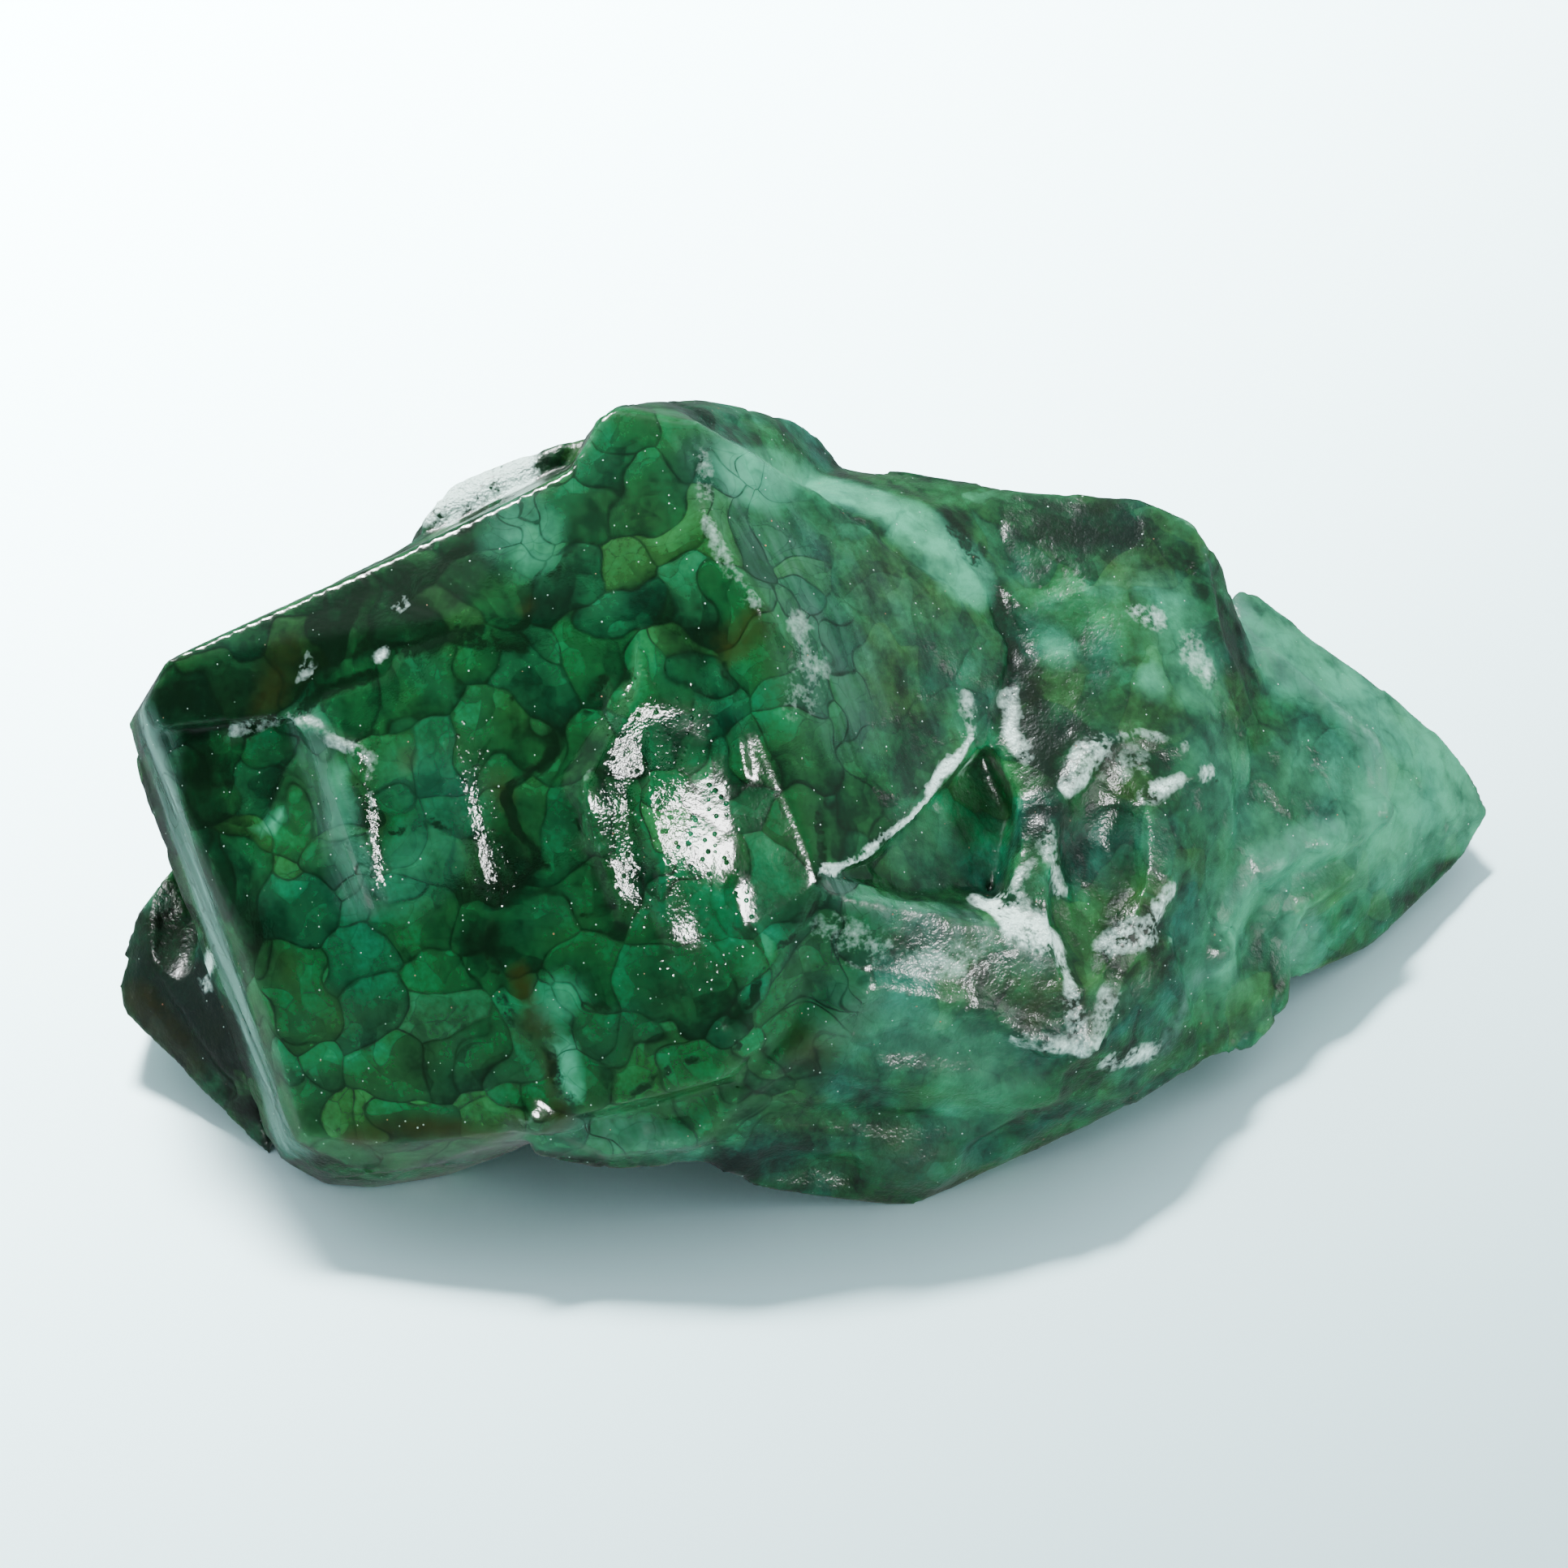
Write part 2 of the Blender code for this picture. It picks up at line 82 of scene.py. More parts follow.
emerald = {
    "voxel": 0.17,  # mm, the finest ledge that the mesh keeps
    "wear": 4,  # smoothing passes that take the knife edge off every break
    "faceLimit": 190000,
    "grain": (0.355, -0.661, -0.661),  # the crystal's long axis, along which its sides are grooved
    "relief": {
        "swellSize": 6.5,  # mm from one shallow swell to the next
        "swellHeight": 0.48,
        "chipSize": 2.4,
        "chipHeight": 0.2,
        "cellTilt": 0.07,
        "crackWidth": 0.07,
        "crackDepth": 0.010,
        "pitSize": 1.5,
        "pitDepth": 0.08,
        "grooveDepth": 0.25,
        "hammerHeight": 0.014,
    },
    "calm": 0.86,  # share of the relief that the glassy face has lost
    "cellSize": 2.5,  # mm, the mosaic of shell-shaped breaks
    "shardSize": 1.1,
    "seed": 7,
    # Folds are drawn as (places, half width in mm, height in mm, sharpness of the crest, 0 = round).
    "folds": {
        "stepTop": ([(290, 905), (370, 892), (398, 902), (440, 925)], 0.5, 0.22, 1.5),
        "stepEdge": ([(440, 925), (452, 1000), (462, 1090)], 0.45, 0.14, 1.5),
        "glareTop": ([(722, 968), (748, 925), (785, 866)], 2.9, 0.63, 1.1),
        "glareMiddle": ([(802, 985), (806, 1020), (812, 1050)], 2.8, 0.42, 1.1),
        "glareStrand": ([(722, 985), (738, 1040), (760, 1105)], 1.4, 0.28, 1.1),
        "glareLow": ([(798, 1085), (812, 1125), (828, 1160)], 1.2, 0.21, 1.1),
        "glareSide": ([(902, 1100), (908, 1140)], 0.8, 0.12, 1.1),
        "glintLine": ([(560, 925), (577, 1010), (596, 1085)], 0.6, 0.14, 1.2),
        "longStreak": ([(890, 835), (905, 890), (917, 955)], 0.45, 0.12, 1.2),
        "fractureLip": ([(1016, 1068), (1060, 1058), (1110, 1020), (1160, 965), (1200, 905)], 0.3, 0.14, 1.5),
        "ridgeChips": ([(862, 520), (872, 640), (925, 735), (975, 800)], 0.5, 0.16, 1.5),
        "smallCrest": ([(1250, 852), (1238, 915), (1262, 935)], 0.4, 0.1, 1.5),
        "kiteRimLeft": ([(1290, 1022), (1308, 1100), (1345, 1290)], 0.8, 0.2, 1.5),
        "kiteRimRight": ([(1440, 1090), (1385, 1200), (1345, 1290)], 0.8, 0.2, 1.5),
        "kiteFloor": ([(1360, 1040), (1390, 1090)], 1.8, -0.45, 1.5),
        "brow": ([(1330, 955), (1352, 922), (1400, 905), (1450, 915)], 0.7, 0.2, 0),
        "browTooth": ([(1425, 980), (1455, 962), (1490, 948)], 0.5, 0.15, 1.4),
        "flankFold": ([(1480, 700), (1500, 800), (1540, 880), (1572, 925)], 0.7, 0.22, 0),
        "innerFold": ([(1500, 850), (1528, 900), (1532, 960)], 0.45, 0.2, 0),
        "tipCrest": ([(1515, 725), (1558, 807), (1640, 877), (1690, 915), (1700, 1000)], 0.8, 0.35, 0),
        "tipFold": ([(1690, 1000), (1650, 1030), (1545, 1072), (1510, 1115), (1505, 1172)], 1.0, 0.45, 0),
        "tipFoldLow": ([(1655, 1075), (1600, 1110), (1572, 1170), (1575, 1230)], 0.9, 0.4, 0),
        "tipHollow": ([(1600, 1060), (1560, 1110), (1540, 1190)], 1.2, -0.3, 0),
        "apronFold": ([(651, 1377), (750, 1410), (850, 1395), (960, 1300), (1050, 1230)], 1.0, 0.35, 0),
        "apronRib": ([(1075, 1215), (1190, 1235), (1300, 1290)], 0.8, 0.3, 0),
        "hole": ([(1215, 1096)], 0.8, -0.4, 1.5),
        "groove": ([(1176, 650), (1195, 690), (1225, 760), (1243, 812)], 0.5, -0.15, 1.5),
        "veinMain": ([(664, 948), (625, 979), (645, 1028), (660, 1069), (614, 1128), (599, 1166)],
                     0.35, -0.04, 1.5),
        "veinRight": ([(1012, 1005), (1012, 1074), (993, 1143), (932, 1204), (896, 1262)], 0.35, -0.06, 1.5),
        "lobeLow": ([(1100, 1440), (1150, 1440)], 1.6, 0.3, 0),
        "lobeDent": ([(960, 1440), (1030, 1450)], 1.4, -0.45, 0),
        "lobeSide": ([(1210, 1420), (1240, 1400)], 1.2, -0.4, 0),
        "lobeUpper": ([(1080, 1320), (1180, 1330), (1290, 1350)], 1.3, 0.3, 0),
        "lobeGroove": ([(960, 1370), (1100, 1385), (1200, 1380)], 1.0, -0.25, 0),
        "footLump": ([(150, 1175)], 1.3, 0.35, 0),
        "footLumpLow": ([(180, 1280)], 1.0, 0.3, 0),
        "footLumpEnd": ([(250, 1350)], 1.0, 0.3, 0),
        "footGroove": ([(170, 1110), (190, 1220), (280, 1340)], 0.7, -0.25, 0),
        "creviceLeft": ([(370, 880), (400, 850), (470, 832), (490, 800), (560, 775)], 0.5, -0.08, 1.5),
    },
    "glareLeftFlank": 0.3,  # how wide the left flank of a glare fold is against the right
    # Strokes of each layer: (places, half width in mm, strength). A place of three numbers is in mm.
    "paint": {
        "crack": [
            ([(687, 925), (664, 948), (633, 960), (625, 979), (633, 1013), (645, 1028), (660, 1051),
              (660, 1069), (641, 1090), (629, 1109), (614, 1128), (610, 1147), (599, 1166)], 0.32, 1.0),
            ([(599, 1166), (606, 1193), (616, 1225), (633, 1258), (664, 1281), (677, 1293), (690, 1345),
              (742, 1371)], 0.45, 0.7),
            ([(742, 1371), (785, 1345), (842, 1313), (907, 1293), (896, 1259), (928, 1228), (933, 1210),
              (959, 1176), (976, 1159), (998, 1124), (1012, 1074), (1012, 1005)], 0.32, 0.85),
            ([(652, 1143), (671, 1141), (698, 1145), (717, 1132), (729, 1120), (755, 1116), (794, 1109)],
             0.25, 0.85),
            ([(664, 1063), (687, 1078), (710, 1078), (725, 1051), (717, 1025), (713, 1009)], 0.25, 0.85),
            ([(711, 657), (701, 678), (674, 719), (660, 757), (632, 802), (601, 798), (540, 775)], 0.3, 0.85),
            ([(656, 822), (643, 846), (625, 867), (608, 898)], 0.25, 0.8),
            ([(746, 833), (732, 846), (722, 881)], 0.3, 0.9),
            ([(375, 880), (385, 858), (430, 845), (470, 832)], 0.5, 1.0),
            ([(480, 800), (505, 800), (530, 785), (560, 780), (640, 796)], 0.5, 0.9),
            ([(500, 752), (530, 760)], 0.6, 1.0),
            ([(440, 1018), (470, 1026), (500, 1028), (530, 1015), (560, 1030)], 0.25, 0.9),
            ([(850, 720), (880, 800), (905, 850)], 0.35, 0.6),
            ([(1215, 1096)], 0.5, 1.2),
            ([(1178, 655), (1200, 690)], 0.5, 0.9),
            ([(1246, 800), (1248, 818)], 0.4, 1.0),
            ([(1494, 955)], 0.35, 1.0),
            ([(1485, 1275)], 0.4, 0.6),
        ],
        # white crushed edges and patches; where they burn out white on the broken back edge, the top-left
        # edge, the fracture lip and the facets on the right, the white is a painted glare
        "frostAndGlare": [
            ([(1016, 1068), (1060, 1058), (1110, 1020), (1160, 965), (1200, 905)], 0.26, 1.7),
            ([(1190, 945), (1195, 865)], 0.45, 0.7),
            ([(862, 560), (872, 640), (900, 705), (930, 745)], 0.45, 0.3),
            ([(985, 770), (1005, 830), (990, 860)], 1.1, 0.3),
            ([(290, 903), (370, 888), (398, 900), (440, 925)], 0.35, 0.7),
            ([(450, 930), (458, 1000), (465, 1080)], 0.3, 0.45),
            ([(470, 805)], 0.45, 1.2),
            ([(380, 822)], 0.35, 1.2),
            ([(497, 748)], 0.3, 1.1),
            ([(1222, 1110), (1262, 1140), (1300, 1170)], 1.0, 1.6),
            ([(1288, 1025), (1250, 1095)], 0.3, 0.6),
            ([(1288, 1030), (1302, 1095)], 0.45, 0.8),
            ([(1305, 1180), (1322, 1230), (1330, 1280)], 0.45, 0.85),
            ([(1370, 1160), (1405, 1150)], 0.8, 1.2),
            ([(1405, 1150), (1440, 1105)], 0.5, 1.1),
            ([(1260, 1275), (1330, 1290)], 0.55, 0.9),
            ([(1340, 1285), (1365, 1230)], 0.5, 0.8),
            ([(1320, 962), (1336, 936), (1356, 924)], 0.7, 1.0),
            ([(1356, 924), (1400, 905), (1450, 915)], 0.4, 0.8),
            ([(1370, 945), (1400, 935)], 0.9, 0.35),
            ([(1415, 980), (1450, 965)], 0.5, 1.2),
            ([(1475, 953), (1488, 948)], 0.4, 0.95),
            ([(1246, 855), (1242, 905), (1262, 930)], 0.45, 0.8),
            ([(1370, 1310), (1430, 1295)], 0.7, 0.7),
            ([(1400, 755), (1430, 765)], 0.45, 0.8),
            ([(1465, 790), (1480, 830)], 0.8, 0.45),
            ([(1030, 1150), (1110, 1190), (1200, 1180)], 1.2, 0.4),
            ([(262, 1180), (250, 1215)], 0.35, 1.0),
            ([(212, 797), (300, 757), (400, 707), (500, 657)], 0.4, 1.1),
            ([(560, 612), (620, 578), (690, 545)], 1.6, 2.6),
        ],
        # paler, milky green of thinner stone; on the top faces and the step strip it also stands for the
        # sheen those faces catch, a painted sheen
        "mint": [
            ([(1571, 790), (1690, 850), (1790, 950)], 3.4, 0.9),
            ([(1720, 1000)], 4.0, 0.9),
            ([(925, 575), (1000, 600), (1080, 620), (1190, 710)], 1.7, 1.1),
            ([(1690, 1000), (1650, 1035), (1545, 1075), (1508, 1172)], 1.5, 0.9),
            ([(1570, 1110), (1600, 1190)], 1.8, 0.5),
            ([(1060, 1250), (1200, 1290), (1210, 1360)], 2.2, 0.35),
            ([(660, 1400), (760, 1410), (840, 1410)], 1.3, 0.3),
            ([(1780, 990), (1820, 1005)], 2.0, 0.9),
            ([(1440, 740), (1480, 850)], 1.6, 0.5),
            ([(1305, 805)], 0.8, 0.9),
            ([(1420, 840)], 0.8, 0.9),
            ([(1558, 807)], 0.7, 1.2),
            ([(530, 1050), (500, 1090)], 1.6, 0.3),
            ([(640, 660)], 1.8, 0.5),
            ([(1390, 1050)], 2.0, 0.15),
            ([(1130, 1040)], 2.0, 0.3),
            ([(500, 960), (570, 990)], 1.5, 0.15),
            ([(690, 1230)], 1.2, 0.5),
            ([(697, 1290), (705, 1350)], 0.5, 1.2),
            ([(150, 1170), (190, 1110)], 0.8, 0.4),
            ([(1600, 950), (1660, 1010)], 2.2, 0.3),
            ([(415, 960), (440, 1070)], 0.7, 0.6),
            ([(333, 1022), (350, 1004)], 0.25, 1.2),
            ([(1500, 950), (1560, 1050), (1500, 1180)], 3.0, 0.35),
            ([(1110, 1290), (1250, 1350)], 2.4, 0.1),
            ([(700, 1405), (820, 1405)], 1.0, 0.15),
        ],
        # painted shade: darker in the crevices, under the front edge, in the dark top-left corner, on the
        # left bevel and the foot; on the right also darker green of the stone
        "shade": [
            ([(190, 850), (290, 840), (380, 800)], 2.2, 0.85),
            ([(360, 800), (450, 750), (560, 700), (640, 640)], 2.0, 0.8),
            ([(640, 760), (700, 720), (720, 640)], 1.4, 0.5),
            ([(240, 960), (300, 1100), (330, 1180)], 1.6, 0.6),
            ([(820, 740), (850, 780)], 1.4, 0.7),
            ([(1170, 640), (1240, 780)], 0.9, 0.8),
            ([(1215, 1095)], 0.8, 0.8),
            ([(390, 1360), (560, 1400)], 1.2, 0.2),
            ([(180, 900), (230, 1180), (300, 1350)], 1.8, 0.8),
            ([(150, 1100), (190, 1200), (260, 1280)], 3.0, 1.1),
            ([(640, 1000), (600, 1160)], 1.4, 0.5),
            ([(930, 900), (960, 1000)], 1.4, 0.4),
            ([(700, 930), (760, 960)], 1.2, 0.5),
            ([(650, 1440), (900, 1440)], 1.5, 0.6),
            ([(1180, 640), (1230, 760), (1290, 960)], 1.0, 0.55),
            ([(1300, 1010), (1390, 1080), (1400, 1150)], 1.5, 0.5),
            ([(1210, 1000), (1190, 1080)], 1.2, 0.4),
            ([(1460, 690), (1530, 820)], 0.8, 0.4),
            ([(1320, 660), (1400, 690)], 2.4, 0.35),
            ([(600, 650), (680, 560), (760, 640)], 2.0, 0.3),
        ],
        # painted light: lighter green that lifts the shade out of hollows and crevices, such as the crevice
        # beside the fracture lip, the kite's floor and under the front
        "clear": [
            ([(955, 880), (965, 1060)], 1.7, 0.4),
            ([(890, 1120), (930, 1170)], 1.6, 0.9),
            ([(830, 990), (850, 1060)], 1.6, 0.7),
            ([(450, 1150), (560, 1250)], 2.0, 0.25),
            ([(1080, 1425), (1150, 1440)], 1.4, 0.6),
            ([(1190, 900), (1225, 1000), (1215, 1060)], 1.4, 1.3),
            ([(330, 1170), (400, 1290), (480, 1350)], 1.6, 0.25),
            ([(1070, 1180), (1150, 1250)], 1.6, 0.4),
            ([(1360, 1040), (1390, 1090)], 1.5, 0.6),
            ([(1290, 700), (1400, 760)], 2.6, 0.4),
            ([(1150, 1000), (1180, 1060)], 1.2, 0.3),
            ([(1600, 1100), (1640, 1150)], 1.6, 0.4),
            ([(1720, 1000), (1760, 950)], 2.6, 0.5),
        ],
        # satin, bruised and grooved along the grain; its grey-green colour is a painted sheen, the pale
        # reflection seen on the left bevel and the side faces
        "hazeAndSheen": [
            ([(900, 560), (1000, 760), (1050, 880)], 2.4, 0.35),
            ([(1060, 700), (1180, 820), (1150, 960)], 2.4, 0.15),
            ([(180, 900), (230, 1050), (300, 1250), (350, 1400)], 1.5, 1.4),
            ([(380, 905), (410, 1000), (445, 1100)], 1.2, 0.5),
            ([(1500, 1180), (1460, 1230), (1440, 1290)], 0.6, 0.6),
            ([(1640, 1020), (1560, 1060), (1510, 1110)], 0.7, 0.5),
            ([(1030, 1090), (1280, 1180)], 1.0, 0.6),
            ([(1000, 1200), (1100, 1260), (1250, 1320)], 1.8, 0.15),
            ([(650, 1390), (850, 1410)], 1.0, 0.35),
            ([(1520, 740), (1560, 810), (1690, 915), (1700, 1000)], 0.8, 0.6),
            ([(1600, 1150), (1620, 1200)], 1.8, 0.7),
        ],
        "glassy": [
            ([(260, 850), (560, 730), (760, 620), (880, 800), (930, 1050), (850, 1280), (500, 1330),
              (300, 1050)], 6.0, 2.4),
            ([(640, 900), (600, 1100), (750, 1150)], 8.0, 1.6),
        ],
        "pocked": [
            ([(800, 880), (820, 980), (850, 1090), (860, 1150)], 2.4, 1.6),
            ([(750, 980), (790, 1110)], 1.2, 1.6),
            ([(575, 910), (590, 1000), (610, 1095)], 0.9, 2.4),
            ([(440, 925), (452, 1000), (466, 1100)], 0.9, 1.6),
        ],
        "rust": [
            ([(900, 800), (935, 765)], 0.9, 0.8),
            ([(1000, 1290), (1060, 1240)], 1.5, 0.8),
            ([(690, 1300), (660, 1270)], 1.2, 0.7),
            ([(610, 970)], 1.2, 0.7),
            ([(497, 938)], 0.6, 0.8),
            ([(1270, 1240)], 1.2, 0.7),
            ([(330, 1180), (420, 1260)], 1.6, 0.4),
            ([(440, 1405), (500, 1390), (600, 1395), (690, 1380)], 0.9, 0.9),
            ([(690, 1360), (680, 1290), (640, 1200)], 0.6, 1.0),
            ([(170, 1230), (230, 1310)], 1.2, 0.8),
            ([(350, 800), (330, 880)], 1.2, 0.5),
            ([(650, 750)], 0.7, 0.6),
            ([(1100, 1420), (1180, 1450)], 1.8, 0.6),
        ],
    },
    "wobbleLengths": (0.5, 4.0),  # mm, the shortest and the longest wave in a stroke's outline
    "wobbleWaves": 14,
    "wobbleSwing": 0.03,
    "ridgeReach": 8,  # rounds of smoothing that a ridge or a hollow is measured against
    "ridgeHeight": 0.06,  # mm
    "clouds": 6.0,  # mm, the patterns' sizes
    "mottle": 1.3,
    "striae": 0.42,
    "grit": 0.2,
    "sugar": 0.14,
    "pinholes": 0.34,
    "tints": 3.4,
    "dust": 0.22,
    # how much each pattern lightens or darkens the green
    "toneMiddle": 0.41,
    "toneOfBlotch": {"clouds": 0.9, "mottle": 1.2},
    "glassyBlotches": 0.5,  # how strong the blotches are on the glassy face
    "toneOf": {"cells": 0.27, "shards": 0.25, "striae": 0.25, "grit": 0.32},
    # shade and hollow darken the green: painted shade; clear lightens it: painted light
    "toneOfLayer": {"glassy": 0.03, "shade": -0.5, "clear": 0.4, "mint": 0.22, "hollow": -0.06,
                    "ridge": 0.12},
    # painted light: each cell of the mosaic is lighter towards its upper edge and darker towards its lower
    # edge, as if lit from above
    "paintedShelfLight": 0.09,  # per mm across a cell, lighter towards its upper edge
    "rimTone": -0.12,
    "colours": {
        "nearBlack": "#0a1e10",
        "deep": "#0c2e18",
        "middle": "#194f27",
        "bright": "#166b3d",
        "light": "#218a5c",
        "olive": "#263f12",
        "teal": "#0b4c40",
        "leaf": "#08552b",
        "mint": "#45a57e",
        "hazeAndSheen": "#507d6e",
        "frostAndGlare": "#d4f2e4",
        "rust": "#2b2a0c",
        "ember": "#b4561c",
    },
    "ior": 1.58,
    "specular": 0.5,
    "transmission": 0.2,
    "glassRoughness": 0.12,
    "satinRoughness": 0.3,
    "warp": {"scale": 0.36, "push": 3.6},  # per mm and mm, what bends the edges of the cells
    "grainSqueeze": 0.94,  # share of its length along the grain that a grooved pattern loses
    "dents": {"pinholes": 0.04, "hammering": 0.08, "powderAndGlare": 0.16},  # mm, how deep each looks in the skin
    # Where each tint lies: the pattern that it follows, where that starts to show, and the most it colours.
    "tintOf": {"olive": ("X", 0.5, 0.5), "teal": ("Y", 0.48, 0.8), "leaf": ("Z", 0.42, 0.7)},
    "tintFade": 0.2,
    # Settings of the nodes that turn a pattern or a layer into how strongly it shows.
    "shows": {
        "pitted": {"From Max": 0.22, "To Min": -1.0, "To Max": 0.0},
        "offGround": {"From Min": 0.05, "From Max": 1.6},  # mm above the ground
        "mosaic": {1: 0.7, 2: 0.3},
        "crackedArea": {"From Min": 0.32, "From Max": 0.46},
        "rim": {"From Max": 0.07, "To Min": 1.0, "To Max": 0.0},
        "yellowed": {"From Min": 0.7, "To Max": 0.3},
        "blued": {"From Min": 0.55, "To Max": 0.25},
        "veiled": {"To Min": 1.0, "To Max": 0.3},
        "stained": {"From Min": 0.1, "From Max": 0.5, "To Max": 0.85},
        "milky": {"From Min": 0.3, "From Max": 0.65, "To Min": 0.3},
        "streaky": {"From Min": 0.35, "From Max": 0.65, "To Min": 0.25, "To Max": 0.95},
        "ring": {"From Min": 0.004, "From Max": 0.022, "To Min": 1.0, "To Max": 0.0},
        "hair": {"From Min": 0.008, "From Max": 0.035, "To Min": 0.35, "To Max": 0.0},
        "halfOpen": {"From Min": 0.4, "From Max": 0.6, "To Min": 1.0, "To Max": 0.45},
        "ragged": {1: 2.4, 2: -1.4},
        "drawnCrack": {"From Min": 0.35, "From Max": 0.75},
        "darkness": {1: 0.9},
        "wornRidgeAndGlare": {1: 0.12},
        "crumbled": {1: 3.0, 2: -3.55},
        "powderAndGlare": {"From Min": 0.15, "From Max": 1.6},
        "speckRadius": {1: 0.8, 2: -0.63},
        "dust": {"From Max": 0.05, "To Max": 0.95},
        "rustySpeck": {1: 0.88},
        "hazeRoughness": {1: 0.8},
        "powderRoughness": {1: 0.4},
        "unevenness": {"To Min": 0.55, "To Max": 0.1},
        "pinhole": {"From Max": 0.3},
    },
}


def closedCopy(node):
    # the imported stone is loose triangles, so its copy is merged into one closed skin
    mesh = bpy.data.meshes.new("emeraldCrystal")
    work = bmesh.new()
    work.from_mesh(node.data)
    bmesh.ops.remove_doubles(work, verts=work.verts, dist=0.002 * mm)
    work.to_mesh(mesh)
    skin = BVHTree.FromBMesh(work)
    work.free()
    copy = bpy.data.objects.new("emerald_crystal_stone", mesh)
    bpy.context.scene.collection.objects.link(copy)
    return copy, skin


def workIn(piece):
    # the piece's mesh with its modifiers worked in
    graph = bpy.context.evaluated_depsgraph_get()
    mesh = bpy.data.meshes.new_from_object(piece.evaluated_get(graph))
    piece.modifiers.clear()
    old = piece.data
    piece.data = mesh
    bpy.data.meshes.remove(old)


def refine(piece):
    remesh = piece.modifiers.new("fineSkin", "REMESH")
    remesh.mode = "VOXEL"
    remesh.voxel_size = emerald["voxel"] * mm
    wear = piece.modifiers.new("wear", "SMOOTH")
    wear.factor = 0.5
    wear.iterations = emerald["wear"]
    workIn(piece)


stone, stoneSkin = closedCopy(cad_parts["emerald_crystal"])
refine(stone)
print("stone skin", len(stone.data.polygons), "faces")


def pointOnStone(place):
    # a place of three numbers is in mm; one of two is where the camera sees the stone in its frame
    if len(place) == 3:
        return Vector(place)
    across, down = place
    half = view["sensor"] / 2 / view["lens"]
    sideways = (across / view["frameSide"] * 2 - 1) * half
    upward = (1 - down / view["frameSide"] * 2) * half
    sight = (viewForward + viewRight * sideways + viewUp * upward).normalized()
    hit = stoneSkin.ray_cast(viewEye * mm, sight)[0]
    return None if hit is None else hit / mm


def readStone():
    # the stone's points in mm and their normals
    points = np.empty(len(stone.data.vertices) * 3, np.float32)
    normals = np.empty(len(points), np.float32)
    stone.data.vertices.foreach_get("co", points)
    stone.data.vertex_normals.foreach_get("vector", normals)
    return points.reshape(-1, 3).astype(float) / mm, normals.reshape(-1, 3).astype(float)


def nearStroke(points, places, leftShare=1.0):
    # how far each point lies from a broken line, in mm; a low share of the left makes its flank steep
    ends = [np.array(p) for p in map(pointOnStone, places) if p is not None]
    least = np.full(len(points), 1e9)
    for a, b in zip(ends, ends[1:] or ends):
        along = b - a
        share = np.clip((points - a) @ along / max(along @ along, 1e-9), 0, 1)
        gap = points - a - share[:, None] * along
        squeeze = np.where(gap @ np.array(viewRight) < 0, leftShare, 1)
        least = np.minimum(least, np.sqrt((gap * gap).sum(1)) / squeeze)
    return least


def foldStone():
    points, normals = readStone()
    facing = normals @ -np.array(viewForward) > 0.05
    moved = points.copy()
    for name, (places, width, height, sharpness) in emerald["folds"].items():
        leftShare = emerald["glareLeftFlank"] if name.startswith("glare") else 1.0
        gap = np.minimum(nearStroke(points, places, leftShare) / width, 1)
        profile = (1 - gap) ** sharpness if sharpness else (1 - gap * gap) ** 2
        rise = height * profile * facing
        moved += normals * rise[:, None]
    stone.data.vertices.foreach_set("co", (moved * mm).astype(np.float32).ravel())
    stone.data.update()


def standOut(points, normals):
    # how far each point stands out of its smoothed surroundings, in mm
    ends = np.empty(len(stone.data.edges) * 2, np.int32)
    stone.data.edges.foreach_get("vertices", ends)
    one, other = ends.reshape(-1, 2).T
    here = np.concatenate([one, other])
    there = np.concatenate([other, one])
    count = np.bincount(here, minlength=len(points))
    smooth = points
    for _ in range(emerald["ridgeReach"]):
        sums = [np.bincount(here, smooth[there, axis], len(points)) for axis in range(3)]
        smooth = np.stack(sums, axis=1) / count[:, None]
    return ((points - smooth) * normals).sum(1)


def wobble(points):
    # places pushed about by waves of many lengths, so that a painted stroke has an uneven, broken outline
    dice = np.random.default_rng(emerald["seed"])
    moved = points.copy()
    for length in np.geomspace(*emerald["wobbleLengths"], emerald["wobbleWaves"]):
        along, push = dice.normal(size=(2, 3))
        phase = points @ (along / np.linalg.norm(along)) / length * math.tau + dice.uniform(0, math.tau)
        moved += np.sin(phase)[:, None] * push / np.linalg.norm(push) * length * emerald["wobbleSwing"]
    return moved


def writeLayer(name, amount):
    layer = stone.data.attributes.new(name, "FLOAT", "POINT")
    layer.data.foreach_set("value", amount.astype(np.float32))


def paintStone():
    points, normals = readStone()
    facing = normals @ -np.array(viewForward) > -0.1
    uneven = wobble(points)
    for name, strokes in emerald["paint"].items():
        amount = np.zeros(len(points))
        for places, width, strength in strokes:
            gap = np.minimum(nearStroke(uneven, places) / width, 1)
            seen = facing if len(places[0]) == 2 else True
            amount = np.maximum(amount, strength * (1 - gap * gap) * seen)
        writeLayer(name, amount)
    # ridges are worn paler; hollows are darkened, painted shade with some dirt in the recesses
    out = standOut(points, normals) / emerald["ridgeHeight"]
    writeLayer("ridge", np.clip(out - 0.5, 0, 1))
    writeLayer("hollow", np.clip(-out - 0.3, 0, 1))


foldStone()
paintStone()
print("folds", len(emerald["folds"]), "painted", ", ".join(emerald["paint"]))


def warpedPlace(tree, place):
    # places pushed about, so that the cells made on them have curved, uneven edges
    warp = addNode(tree, "ShaderNodeTexNoise",
                   {"Vector": place, "Scale": emerald["warp"]["scale"], "Detail": 1.0})
    centred = addNode(tree, "ShaderNodeVectorMath", {0: warp.outputs["Color"], 1: (0.5, 0.5, 0.5)},
                      operation="SUBTRACT")
    return addNode(tree, "ShaderNodeVectorMath", {0: centred, 1: (emerald["warp"]["push"],) * 3, 2: place},
                   operation="MULTIPLY_ADD")


